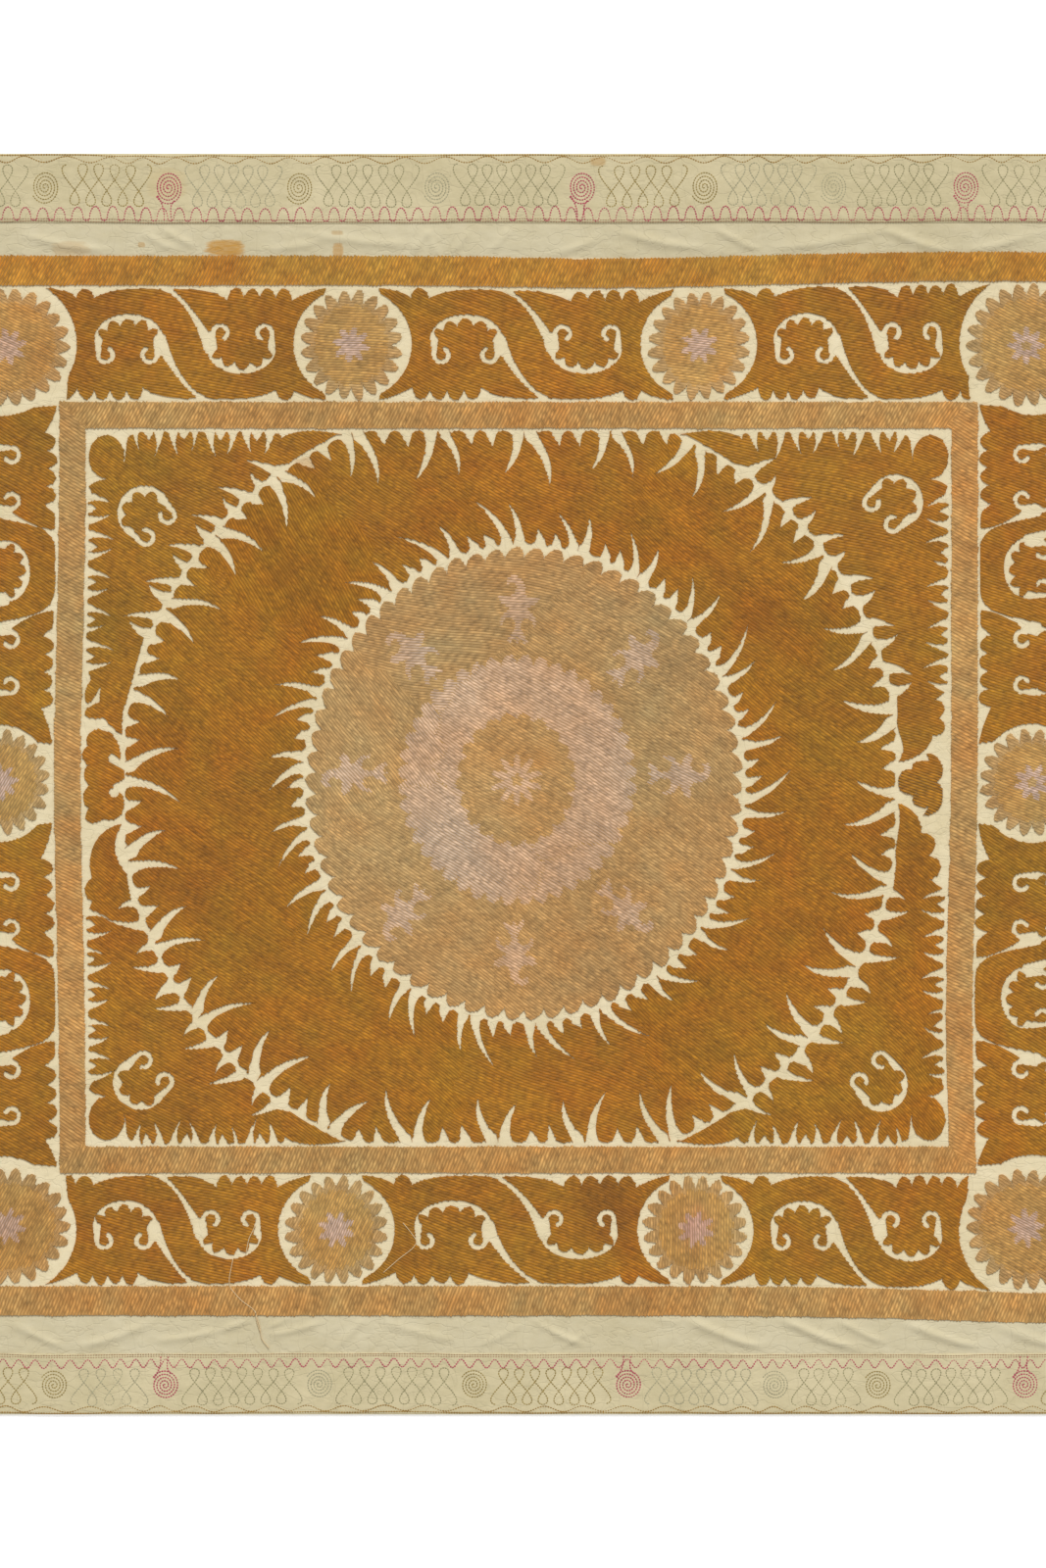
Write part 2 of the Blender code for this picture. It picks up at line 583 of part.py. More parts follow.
def ground_rings():
    """Closed rings of the ground cloth from its cut edge to the worked band, as x, y and rise.

    The ring in the middle of the plain strip rises and falls by turns, as the puckers there do.
    """
    left, right, bottom, top = (OUTER_BAND[key] for key in ("left", "right", "bottom", "top"))
    side = TRIM_IN["side"]
    edge = rectangle(-HALF_LENGTH, HALF_LENGTH, -HALF_WIDTH, HALF_WIDTH, RING_LONG, RING_SHORT)
    out = rectangle(-side + 4, side - 4, TRIM_IN["bottom"] + 4, TRIM_IN["top"] - 4, RING_LONG, RING_SHORT)
    inner = drifted(rectangle(left - 3, right + 3, bottom - 3, top + 3, RING_LONG, RING_SHORT))
    number = np.arange(len(edge))
    rise = RIPPLE_RISE * (0.5 + 0.5 * np.cos(np.pi * number)) * (0.55 + 0.45 * np.sin(1.7 * number + 0.6))
    lean = np.column_stack([np.sin(2.3 * number), np.cos(1.9 * number)]) * RIPPLE_LEAN
    middle = (out + inner) / 2 + lean
    flat = np.zeros(len(edge))
    rings = (edge, flat), (out, flat), (middle, rise), (inner, flat)
    return [np.column_stack([line, up]) for line, up in rings]


def ground_cloth(material, collection):
    """Cotton sheet under everything: rings joined by strips, closed in the middle, then thickened."""
    rings = ground_rings()
    count = len(rings[0])
    points = np.vstack(rings) * MM
    faces = [tuple(range(3 * count, 4 * count))[::-1]]
    for ring in range(3):
        for k in range(count):
            after = (k + 1) % count
            here = ring * count
            faces.append((here + k, here + count + k, here + count + after, here + after)[::-1])
    mesh = bpy.data.meshes.new("ground_cloth")
    mesh.from_pydata(points.tolist(), [], faces)
    mesh.materials.append(material)
    thing = bpy.data.objects.new("ground_cloth", mesh)
    collection.objects.link(thing)
    sheet = bmesh.new()
    sheet.from_mesh(mesh)
    bmesh.ops.recalc_face_normals(sheet, faces=sheet.faces)
    if sum(face.normal.z for face in sheet.faces) < 0:
        bmesh.ops.reverse_faces(sheet, faces=sheet.faces)
    sheet.to_mesh(mesh)
    sheet.free()
    thick = thing.modifiers.new("thickness", "SOLIDIFY")
    thick.thickness = CLOTH_THICK * MM
    thick.offset = 1.0
    solid = bpy.data.meshes.new_from_object(thing.evaluated_get(bpy.context.evaluated_depsgraph_get()))
    thing.modifiers.clear()
    thing.data = solid
    return thing


def trim_outlines():
    """The four sewn-on trims: top and bottom run full length, the sides are fitted between them."""
    side, top, bottom = TRIM_IN["side"], TRIM_IN["top"], TRIM_IN["bottom"]
    inner_top = top - PLAY
    inner_bottom = bottom + PLAY
    return {
        "trim_top": (-HALF_LENGTH, HALF_LENGTH, top, HALF_WIDTH),
        "trim_bottom": (-HALF_LENGTH, HALF_LENGTH, -HALF_WIDTH, bottom),
        "trim_left": (-HALF_LENGTH, -side, inner_bottom, inner_top),
        "trim_right": (side, HALF_LENGTH, inner_bottom, inner_top),
    }


def main():
    """Builds the cloth, its trims and its embroidery."""
    start_clean()
    materials = silk_and_cotton()
    collection = bpy.data.collections.new("suzani_cloth")
    bpy.context.scene.collection.children.link(collection)
    ground_cloth(materials["ground_cotton"], collection)
    low = CLOTH_THICK + LAYER_GAP
    for name, (left, right, bottom, top) in trim_outlines().items():
        outline = rectangle(left, right, bottom, top, 1, 1)
        slab(name, [outline], low, low + TRIM_THICK, materials["trim_cotton"], collection)
    for name, slot, outlines in layout():
        slab(name, outlines, low, low + STITCH_THICK, materials[slot], collection)


main()
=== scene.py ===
# %% [markdown]
# # Suzani cloth lying flat
#
# A cotton cloth with four sewn-on trims is covered with laid silk threads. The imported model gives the
# place and size of every piece. This script gives each piece its real surface: rows of thread, chain
# stitches, woven cotton, creases and stains.

import bpy
import numpy as np
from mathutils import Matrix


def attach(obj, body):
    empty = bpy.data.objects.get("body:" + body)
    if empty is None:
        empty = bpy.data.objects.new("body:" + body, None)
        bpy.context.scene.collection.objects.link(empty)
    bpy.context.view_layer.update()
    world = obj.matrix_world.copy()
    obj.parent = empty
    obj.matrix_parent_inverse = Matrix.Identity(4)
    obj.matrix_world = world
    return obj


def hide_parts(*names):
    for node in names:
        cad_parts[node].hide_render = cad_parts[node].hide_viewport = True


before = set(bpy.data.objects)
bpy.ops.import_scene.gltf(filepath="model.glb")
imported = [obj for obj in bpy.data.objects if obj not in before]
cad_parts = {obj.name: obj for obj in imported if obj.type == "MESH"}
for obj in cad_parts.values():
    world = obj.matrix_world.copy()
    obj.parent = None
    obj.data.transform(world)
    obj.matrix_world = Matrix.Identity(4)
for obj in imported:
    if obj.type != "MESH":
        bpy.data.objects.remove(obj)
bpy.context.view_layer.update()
print("nodes:", len(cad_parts))

# %% [markdown]
# ## Sizes
#
# The layout is written in millimetres, seen from above with the middle of the cloth at 0, 0, and is
# turned into metres where a mesh is made. Heights are above the surface that the cloth rests on.

# %%
# Sizes.
MM = 0.001
HALF_LENGTH = 805.0
HALF_WIDTH = 725.0
CLOTH_TOP = 1.5
SILK_LOW = 1.4
SILK_TOP = 2.8
TRIM_TOP = 3.0

TRIM_IN = {"top": 645.0, "bottom": -655.0, "side": 731.0}
OUTER_BAND = {"left": -692.0, "right": 692.0, "bottom": -611.0, "top": 607.0, "width": 33.0}
INNER_BAND = {"left": -523.0, "right": 532.0, "bottom": -447.0, "top": 439.0, "width": 29.5}

FIELD = np.array([-4.0, -3.0])
MEDALLION = np.array([11.0, 1.0])
MEDALLION_RADII = np.array([251.0, 272.0])
MEDALLION_SCALLOPS = 66
SCALLOP_DEPTH = 15.0
WHITE_GAP = 3.5
WREATH_RADIUS = 447.0
WREATH_TOP = 409.0
WREATH_SIDE = 441.5
WREATH_UNITS_IN = 22
WREATH_UNITS_OUT = 28
CORNER_RADIUS = 452.0
FRAME_GAP = 4.5
LEAF_RADIUS = 32.0
SPEAR_LENGTH = 72.0
OUTER_TIP = 36.0
INNER_TIP = 12.0
TIP_OF_TWO = 38.0
TIP_OF_THREE = 22.0
CORNER_RING = 80.0
SIDE_RING = 67.0
BLOCK_EDGE = 66.0
LEAF_DROP = 6.0
BASE_VALLEY = 51.0
CURL_RADIUS = 11.5
CURL_THICK = 6.2
PETAL_DEPTH = 16.0

dice = np.random.default_rng(7)
print("worked field:", INNER_BAND["right"] - INNER_BAND["left"], "mm wide")

# %% [markdown]
# The hand that drew the pattern strayed from straight lines. Each row below is one soft shift: its
# middle, how far it reaches, and how far it moves the drawing.

# %%
# Soft shifts of the drawing.
DRIFTS = (
    (100.0, 590.0, 150.0, 60.0, 0.0, -3.4),
    (520.0, 590.0, 200.0, 60.0, 0.0, 5.0),
    (700.0, -600.0, 260.0, 70.0, 0.0, -10.0),
    (-508.0, 0.0, 60.0, 210.0, -6.5, 0.0),
    (518.0, -260.0, 60.0, 170.0, -6.5, 0.0),
)


def drifted(points):
    """The points with every soft shift added: shift * exp(-far), far the squared distance in reaches."""
    moved = np.array(points, float)
    for x, y, reach_x, reach_y, shift_x, shift_y in DRIFTS:
        far = ((points[:, 0] - x) / reach_x) ** 2 + ((points[:, 1] - y) / reach_y) ** 2
        moved += np.exp(-far)[:, None] * (shift_x, shift_y)
    return moved


print("the top band dips by", round(float(607 - drifted(np.array([[100.0, 607.0]]))[0, 1]), 1), "mm")

# %% [markdown]
# ## Lines of the drawing
#
# Every outline runs clockwise, with the work on its right. Four kinds of line make all of it: an arc,
# a bend between two ends, a row of round lobes, and an edge with thorns let into it.

# %%
# Arc, bend and lobes.
LOBE_POINTS = 7


def arc(centre, radii, start, sweep, steps):
    """Points on an ellipse about the centre, from the start angle through the sweep, in degrees."""
    angle = np.radians(start + sweep * np.linspace(0, 1, steps + 1))
    return np.array(centre) + np.array(radii) * np.column_stack([np.cos(angle), np.sin(angle)])


def bend(first, pull_first, pull_last, last, steps=9):
    """Points on the cubic curve between two ends, drawn towards two pull points."""
    t = np.linspace(0, 1, steps + 1)[:, None]
    s = 1 - t
    first, pull_first, pull_last, last = map(np.array, (first, pull_first, pull_last, last))
    return s**3 * first + 3 * s**2 * t * pull_first + 3 * s * t**2 * pull_last + t**3 * last


def lobed(valleys, height, lean=0.0):
    """Round lobes from each valley point to the next, standing out to the left of the way.

    At share t of a lobe the outline stands out by height * sin(pi t)^0.5, and the height differs a
    little from lobe to lobe.
    """
    share = np.linspace(0.03, 0.97, LOBE_POINTS)
    swell = np.sin(np.pi * share)
    rows = []
    for here, there in zip(valleys[:-1], valleys[1:]):
        along = there - here
        outward = np.array([-along[1], along[0]]) / np.linalg.norm(along)
        tall = height * dice.uniform(0.9, 1.06)
        way = share + lean * swell + dice.uniform(-0.05, 0.05) * swell
        rows.append(np.vstack([here, here + along * way[:, None] + outward * (tall * swell**0.5)[:, None]]))
    rows.append(valleys[-1:])
    return np.vstack(rows)


print("points in one lobe:", len(lobed(np.array([(0.0, 0.0), (20.0, 0.0)]), 10.0)) - 1)

# %% [markdown]
# Thorns are the thin unworked lines that run into the silk from an edge. Their feet lie a little
# inside the edge, so that the silk stands between them in rounded fingers.

# %%
# Edges with thorns.
WREATH_TEETH_IN = (
    (0.08, 45.0, -0.12, 0.30, 8.4),
    (0.27, 47.0, 0.25, 0.45, 8.4),
    (0.52, 19.0, 0.30, 0.0, 11.5),
    (0.77, 18.0, 0.30, 0.0, 11.5),
)
WREATH_TEETH_OUT = (
    (0.07, 55.0, 0.02, -0.36, 10.2),
    (0.23, 56.0, 0.75, -0.44, 10.2),
    (0.53, 19.0, 0.15, 0.0, 12.0),
    (0.77, 18.0, 0.15, 0.0, 12.0),
)
FRAME_TEETH = (
    (0.10, 27.0, 0.05, 0.22, 5.6),
    (0.40, 11.0, 0.0, 0.0, 10.0),
    (0.71, 27.0, -0.05, -0.22, 5.6),
)
RIM_TEETH = (
    (0.20, 32.0, 0.30, 0.20, 8.0),
    (0.68, 24.0, 0.10, -0.30, 9.5),
)
LONG_THORN = 24.0


class Edge:
    """An edge that thorns are let into, measured by length along it. The work lies to its right."""

    def __init__(self, points, closed):
        self.points = np.vstack([points, points[:1]]) if closed else np.array(points)
        steps = np.linalg.norm(np.diff(self.points, axis=0), axis=1)
        self.places = np.concatenate([[0.0], np.cumsum(steps)])
        self.length = self.places[-1]
        self.closed = closed

    def at(self, place):
        """Points at lengths along the edge."""
        place = place % self.length if self.closed else np.clip(place, 0.0, self.length)
        return np.stack([np.interp(place, self.places, self.points[:, k]) for k in (0, 1)], axis=-1)

    def frame(self, place):
        """Points, directions along, and directions into the work at lengths along the edge."""
        along = self.at(place + 2.0) - self.at(place - 2.0)
        along = along / np.linalg.norm(along, axis=-1, keepdims=True)
        return self.at(place), along, np.stack([along[..., 1], -along[..., 0]], axis=-1)


def toothed(edge, teeth, set_back):
    """Outline along an edge with thorns let into it and rounded fingers of silk between them.

    A thorn's middle line is foot + into * (set_back + (length - set_back) t)
    + along * length * (lean t + bow t^2). Its half width is square to that line: a long thorn is
    a horn, width / 2 * (1 - t^2.2) with a flare at its foot; a short one a notch, width / 2 * (1 - t).
    Between two thorns the outline lies set_back * (1 - sin(pi s)^0.45) inside the edge.
    """
    rows = []
    t = np.linspace(0, 1, 10)[:, None]
    s = np.linspace(0.06, 0.94, 9)
    after = teeth[1:] + ([(teeth[0][0] + edge.length, *teeth[0][1:])] if edge.closed else [])
    for k, (place, length, lean, bow, width) in enumerate(teeth):
        foot, along, into = edge.frame(place)
        middle = foot + into * (set_back + (length - set_back) * t)
        middle = middle + along * length * (lean * t + bow * t**2)
        way = into * (length - set_back) + along * length * (lean + 2 * bow * t)
        square = np.column_stack([-way[:, 1], way[:, 0]]) / np.linalg.norm(way, axis=1)[:, None]
        if length > LONG_THORN:
            half = square * (width / 2 * (1 - t**2.2) + 2.2 * np.clip(1 - t * length / 13.0, 0, 1) ** 1.5)
        else:
            half = square * width / 2 * (1 - t)
        rows += [middle - half, (middle + half)[-2::-1]]
        if k < len(after):
            first = place + np.linalg.norm(half[0])
            flare = 2.2 if after[k][1] > LONG_THORN else 0.0
            last = after[k][0] - after[k][4] / 2 - flare
            point, _, inward = edge.frame(first + (last - first) * s)
            rows.append(point + inward * (set_back * (1 - np.sin(np.pi * s) ** 0.45))[:, None])
    return np.vstack(rows)


def repeated(edge, pattern, count, start=0.0, end=0.0):
    """Thorn rows for equal units along an edge, each a little off the one pattern of a unit."""
    unit = (edge.length - start - end) / count
    rows = []
    for k in range(count):
        for place, length, lean, bow, width in pattern:
            shift, longer, tilt, wider = dice.normal(0.0, 1.0, 4)
            rows.append((
                start + unit * (k + place) + 0.9 * shift, length * (1 + 0.1 * np.clip(longer, -1.6, 1.6)),
                lean + 0.05 * tilt, bow, width * (1 + 0.08 * np.clip(wider, -2, 2)),
            ))
    return rows


print("thorns let into the wreath:", 4 * WREATH_UNITS_IN + 4 * WREATH_UNITS_OUT)

# %% [markdown]
# ## Motifs
#
# Small helpers turn, mirror and curl lines. The hooked unworked line round a leaf comes back in the
# scroll blocks and in the corner fields.

# %%
# Helpers and the hooked line.
def placed(points, degrees, centre):
    """Points turned about 0, 0 and moved to the centre."""
    angle = np.radians(degrees)
    turn = np.array([[np.cos(angle), np.sin(angle)], [-np.sin(angle), np.cos(angle)]])
    return points @ turn + np.array(centre)


def mirrored(points):
    """Points mirrored left to right and taken in the opposite order."""
    return (points * (-1.0, 1.0))[::-1]


def curl(centre, start, end):
    """Hooked end of an unworked line: along its outer side, round its blunt tip and back inside."""
    outer = arc(centre, (CURL_RADIUS, CURL_RADIUS), start, end - start, 14)
    blunt = CURL_RADIUS - CURL_THICK / 2
    tip = arc(centre, (blunt, blunt), end + 20.0, 0.0, 0)
    narrow = CURL_RADIUS - CURL_THICK
    inner = arc(centre, (narrow, narrow), end, start - end, 12)
    return np.vstack([outer, tip, inner])


def leaf_hollow(half, depth, valley=0.5, lobe=0.35, lobes=5):
    """Unworked horn round a leaf that opens upward.

    Gives the far side of the horn from left to right, and the way back: curl, leaf lobes and curl.
    """
    far_side = arc((-1.5, 0.0), (half, depth), 184.0, 182.0, 24)
    hook = curl((half - 14.5, depth * 0.64), 0.0, 245.0)
    valleys = arc((0.0, depth * 0.03), (half - 11.5, depth * valley), -4.0, -172.0, lobes)
    return far_side, np.vstack([hook, lobed(valleys, depth * lobe), mirrored(hook)])


print("points round one leaf:", sum(len(part) for part in leaf_hollow(32.0, 32.0)))

# %% [markdown]
# A scroll block is made of units: an unworked way curves down into it from the arch, goes round a
# leaf and stops, and beside it stands a scalloped base.

# %%
# Scroll blocks.
def scroll_inlet(half, reach):
    """Unworked way into a block: down from the arch, round the leaf, and up to the base's tip."""
    down = bend((-reach - 12, 71), (-reach + 16, 70), (-half - 13, 35), (-half - 4, -4))
    up = bend((-half + 1.5, 20), (-half - 5, 29), (-half - 18, 52), (-reach + 11, 70))
    far_side, back = leaf_hollow(half, 30.0)
    return np.vstack([down, far_side[1:], back[1:-1], up])


def scroll_slit(half, reach):
    """The same way in, stopped short of the leaf so that the block stays in one piece."""
    down = bend((-reach - 12, 71), (-reach + 10, 70), (-reach + 12, 55), (-half - 17, 31))
    up = bend((-half - 14, 34), (-half - 14, 40), (-half - 14, 56), (-reach + 11, 70))
    return np.vstack([down, up])


def base_edge(first, last, lobes):
    """Scalloped edge of a base between its two outermost valleys."""
    valleys = np.array([(u, BASE_VALLEY) for u in np.linspace(first, last, lobes + 1)])
    return lobed(valleys, BLOCK_EDGE - BASE_VALLEY)


def wing(valley, tip):
    """Edge from the last valley of a base out to the block's tip."""
    reach = tip - valley
    return bend((valley, BASE_VALLEY), (valley + 0.3 * reach, 58), (valley + 0.7 * reach, 64), (tip, 66))[1:]


def wave(tip, valley):
    """Edge from a base's own tip to its first valley."""
    return bend((tip, 64), (tip + 26, 66), (valley - 13, 62), (valley, BASE_VALLEY))[1:-1]


def arch_end(tip, length):
    """Edge from a block's tip over its round bud to the start of the arch."""
    start = bend((-tip, 66), (-tip + 12, 65), (-length - 6, 61), (-length - 1, 54))
    bud = lobed(np.array([(-length - 1.0, 54.0), (-length + 19.0, 54.0)]), 12.0)
    rise = bend((-length + 19, 54), (-length + 34, 62), (-length + 50, 65), (-length + 70, 65))
    return np.vstack([start[:-1], bud, rise[1:]])


def end_arc(length, corner, upper_tip, lower_tip):
    """Hollow end of a block round the ring of a rosette, from near its upper tip to near its lower."""
    ring = CORNER_RING if corner else SIDE_RING
    upper, lower = (np.degrees(np.arccos(1 - (tip - 2.0) / ring)) for tip in (upper_tip, lower_tip))
    return arc((length + ring, 0.0), (ring, ring), 180.0 - upper, upper + lower, 18)


def side_of_two(length, first_tip, last_tip):
    """Long side of a block of two units: bud, arch, way in, then the scalloped base."""
    scale = length / 124.0
    reach = 90.0 * scale
    last = np.array([66.0 * scale, -LEAF_DROP])
    valley = last[0] - 17.0 * scale
    lead = np.vstack([arch_end(length + first_tip, length), scroll_inlet(40.0 * scale, reach) + last])
    base = np.vstack([wave(last[0] - reach + 11, valley), base_edge(valley, length - 1, 4)])
    return np.vstack([lead, base, wing(length - 1, length + last_tip)])


def base_side_of_three(length, first_tip, last_tip):
    """Long side of a block of three units that has two bases and an arch between them."""
    last = np.array([0.6 * length, -LEAF_DROP])
    valley = last[0] - 30.0
    halves = []
    for tip in (first_tip, last_tip):
        base = np.vstack([wave(last[0] - 59.0, valley), base_edge(valley, length - 19, 4)])
        halves.append(np.vstack([scroll_inlet(41.0, 70.0) + last, base, wing(length - 19, length + tip)]))
    return np.vstack([mirrored(halves[0]), halves[1]])


def arch_side_of_three(length, first_tip, last_tip):
    """Other long side of that block: two arches and one base between them."""
    drop = np.array([0.0, -LEAF_DROP])
    edge = wave(-59.0, -30.0)
    first = np.vstack([arch_end(length + first_tip, length - 8), scroll_inlet(36.0, 70.0) + drop, edge])
    last = np.vstack([arch_end(length + last_tip, length - 8), scroll_slit(36.0, 70.0) + drop, edge])
    return np.vstack([first, base_edge(-30.0, 30.0, 4), mirrored(last)])


def block_outline(length, units, corner_end, outer_side):
    """Outline of a scroll block along its length; corner_end and outer_side are -1, 0 or 1.

    Its tips reach farthest on the outer side of a cloth corner and least on the inner side.
    """
    def tip(end, side):
        if end == corner_end:
            return OUTER_TIP if side == outer_side else INNER_TIP
        return TIP_OF_TWO if units == 2 else TIP_OF_THREE

    if units == 2:
        upper = side_of_two(length, tip(-1, 1), tip(1, 1))
        lower = side_of_two(length, tip(1, -1), tip(-1, -1))
    else:
        upper = base_side_of_three(length, tip(-1, 1), tip(1, 1))
        lower = arch_side_of_three(length, tip(1, -1), tip(-1, -1))
    last_end = end_arc(length, corner_end == 1, tip(1, 1), tip(1, -1))
    first_end = end_arc(length, corner_end == -1, tip(-1, -1), tip(-1, 1))
    return np.vstack([upper, last_end, -lower, -first_end])


print("points round a block of three:", len(block_outline(177.0, 3, -1, -1)))

# %% [markdown]
# The middle of the cloth: the scalloped medallion, the wreath round it, the four corner fields and the
# two small flowers that stand between the corner fields.

# %%
# Rosettes, medallion, wreath, corner fields and flowers.
def rosette_outline(radius_x, radius_y, petals):
    """Round flower with rounded petals."""
    valleys = arc((0.0, 0.0), (radius_x - PETAL_DEPTH, radius_y - PETAL_DEPTH), 90.0, -360.0, petals)
    return lobed(valleys, PETAL_DEPTH + 0.5)[:-1]


def medallion_outline():
    """Scalloped oval, each scallop leaning with the clock."""
    radii = MEDALLION_RADII - SCALLOP_DEPTH
    valleys = arc(MEDALLION, radii, 90.0, -360.0, MEDALLION_SCALLOPS)
    return lobed(valleys, SCALLOP_DEPTH, lean=0.18)[:-1]


def wreath_inner():
    """Inner outline of the wreath: lobes that face the medallion and thorns that point outward."""
    oval = arc(MEDALLION, MEDALLION_RADII + WHITE_GAP, 90.0, 360.0, 360)[:-1]
    edge = Edge(oval, True)
    return toothed(edge, repeated(edge, WREATH_TEETH_IN, WREATH_UNITS_IN), 4.5)


def wreath_outer():
    """Outer outline of the wreath: a circle cut flat by the frame, with pairs of long thorns."""
    circle = arc((0.0, 0.0), (WREATH_RADIUS, WREATH_RADIUS), 90.0, -360.0, 360)[:-1]
    reach = np.array([WREATH_SIDE, WREATH_TOP])
    edge = Edge(np.clip(circle, -reach, reach) + FIELD, True)
    return toothed(edge, repeated(edge, WREATH_TEETH_OUT, WREATH_UNITS_OUT), 4.5)


# Ends of the corner fields beside the small flowers, as distance from the band and height above the
# middle line: ring height, pulls and tip of the ring side, pulls of the band side, valleys up that
# side, lobe height, and how far the last thorn of the rim stays off.
FIELD_ENDS = {
    "corner_field_top_left": (
        97.0, ((44, 88), (43, 74), (44.5, 60)), ((38, 65), (31, 71)), ((25, 80), (20, 97)), 18.0, 70.0,
    ),
    "corner_field_top_right": (
        82.0, ((66, 60), (46, 48), (61, 29)), ((40, 32), (24, 44)), ((22, 60), (15.5, 79), (21.5, 99)),
        11.0, 10.0,
    ),
    "corner_field_bottom_left": (
        100.0, ((34, 84), (32, 62), (44, 43)), ((26, 46), (3, 66)), ((11.8, 106), (12, 131)), 8.0, 18.0,
    ),
    "corner_field_bottom_right": (
        88.0, ((67, 66), (54, 38), (61.5, 19.5)), ((50, 22), (34, 32)),
        ((34.5, 54), (27.5, 80), (24.5, 107)), 15.0, 16.0,
    ),
}


def field_end(name, rim_end, middle):
    """Leaf-shaped end of a corner field: down the ring side to its tip and up the band side in lobes."""
    _, ring_side, band_side, valleys, height, _ = FIELD_ENDS[name]
    up = np.array([0.0, middle])
    tip = np.array(ring_side[2]) + up
    valleys = np.array(valleys) + up
    down = bend(rim_end, *(np.array(ring_side[:2]) + up), tip)[1:]
    back = bend(tip, *(np.array(band_side) + up), valleys[0])[1:-1]
    end = [down, back, lobed(valleys, height)]
    if name == "corner_field_top_left":
        end.append(bend((21.5, 117), (16, 108), (14, 102), (10, 98)) + up)
        end.append(bend((8, 97), (2, 97), (3, 112), (11, 124)) + up)
    return np.vstack(end)


def corner_outline(name, sign_x, sign_y):
    """Outline of one corner field, drawn as the top left one and mirrored into its corner."""
    inner_x = INNER_BAND["left"] + INNER_BAND["width"]
    if sign_x > 0:
        inner_x = INNER_BAND["right"] - INNER_BAND["width"]
    inner_y = INNER_BAND["bottom"] + INNER_BAND["width"]
    if sign_y > 0:
        inner_y = INNER_BAND["top"] - INNER_BAND["width"]
    centre = np.array([abs(inner_x - FIELD[0]), -abs(inner_y - FIELD[1])])
    reach = np.sqrt(CORNER_RADIUS**2 - (centre[1] + FRAME_GAP) ** 2)
    spear = np.array([centre[0] - reach, -FRAME_GAP])
    end_angle = 180.0 - np.degrees(np.arcsin(FIELD_ENDS[name][0] / CORNER_RADIUS))
    start = np.degrees(np.arctan2(spear[1] - centre[1], spear[0] - centre[0]))
    circle = arc(centre, (CORNER_RADIUS, CORNER_RADIUS), start, end_angle - start, 160)
    rim = Edge(circle, False)
    end = field_end(name, circle[-1], centre[1])
    side = Edge(np.array([(FRAME_GAP, end[-1][1]), (FRAME_GAP, -68.0)]), False)
    side_points = toothed(side, repeated(side, FRAME_TEETH, 5, 10.0), 3.0)
    under = np.vstack([
        bend((4.8, -67.0), (12.0, -61.0), (19.0, -59.5), (27.0, -59.0)),
        bend((27.0, -59.0), (20.0, -56.5), (15.0, -56.0), (12.0, -52.5))[1:-1],
    ])
    lobe = arc((24.4, -32.8), (20.0, 24.5), 235.0, -250.0, 24)
    beside = bend((45.0, -39.0), (48.5, -27.0), (45.5, -9.5), (54.0, -7.5))[:-1]
    top = Edge(np.array([(54.0, -FRAME_GAP), spear - (SPEAR_LENGTH, 0.0)]), False)
    top_points = toothed(top, repeated(top, FRAME_TEETH, 4), 3.0)
    leaf_foot, leaf_tip = spear - (SPEAR_LENGTH, 9.0), spear - (0.0, 3.0)
    finger = lobed(np.array([top_points[-1], leaf_foot]), 5.0)[1:-1]
    leaf = bend(leaf_foot, spear - (58.0, -3.0), spear - (30.0, -3.0), leaf_tip)
    leaf_back = [rim.at(share * SPEAR_LENGTH) for share in np.linspace(0.1, 1.0, 8)]
    rim_points = toothed(rim, repeated(rim, RIM_TEETH, 6, 82.0, FIELD_ENDS[name][5]), 4.5)
    points = np.vstack([
        side_points, under, lobe, beside, top_points, finger, leaf, leaf_back, rim_points, circle[-1:], end,
    ])
    return points * (-sign_x, sign_y) + (inner_x, inner_y)


def left_flower():
    """Small leaf at the middle of the left side: five lobes, two hooks and a short stem."""
    valleys = [
        (-470.0, -40.0), (-483.0, -27.0), (-481.5, -1.0), (-482.0, 22.0), (-484.0, 44.0), (-471.0, 62.0),
    ]
    foot = lobed(np.array(valleys[:2]), 14.0)
    lobes = lobed(np.array(valleys[1:]), 8.0)
    upper = bend((-471.0, 62.0), (-458.0, 60.0), (-450.0, 46.0), (-451.0, 28.0))[1:]
    upper_hook = arc((-459.0, 29.0), (5.0, 6.5), 30.0, 240.0, 12)
    stem = np.array([(-446.5, 15.5), (-446.5, 7.0), (-459.0, -1.0)])
    lower_hook = arc((-457.5, -9.5), (5.5, 6.0), 110.0, 250.0, 12)
    lower = bend((-449.0, -12.0), (-446.0, -20.0), (-445.0, -42.0), (-464.0, -41.0))
    return np.vstack([foot[:-1], lobes, upper, upper_hook, stem, lower_hook, lower])


def right_flower():
    """Small fan at the middle of the right side: a round bud, two arms and two hooked wings."""
    bud = arc((453.5, 2.5), (12.5, 14.5), -60.0, -240.0, 20)
    upper = bend((463.5, 9.5), (452.0, 22.0), (458.0, 28.0), (478.0, 26.5))
    wing_up = bend((474.0, 35.0), (486.0, 37.0), (494.0, 22.0), (492.0, 10.0))
    wing_low = bend((492.0, -5.0), (495.0, -20.0), (490.0, -37.0), (470.0, -36.0))
    lower = bend((477.0, -27.0), (458.0, -28.0), (452.0, -18.0), (463.5, -6.0))
    return np.vstack([bud, upper, wing_up, (486.0, 2.5), wing_low, lower])


print("points round the wreath:", len(wreath_outer()), "and", len(wreath_inner()))

# %% [markdown]
# ## Layout
#
# Where each motif stands, and the direction in degrees in which its threads are laid.

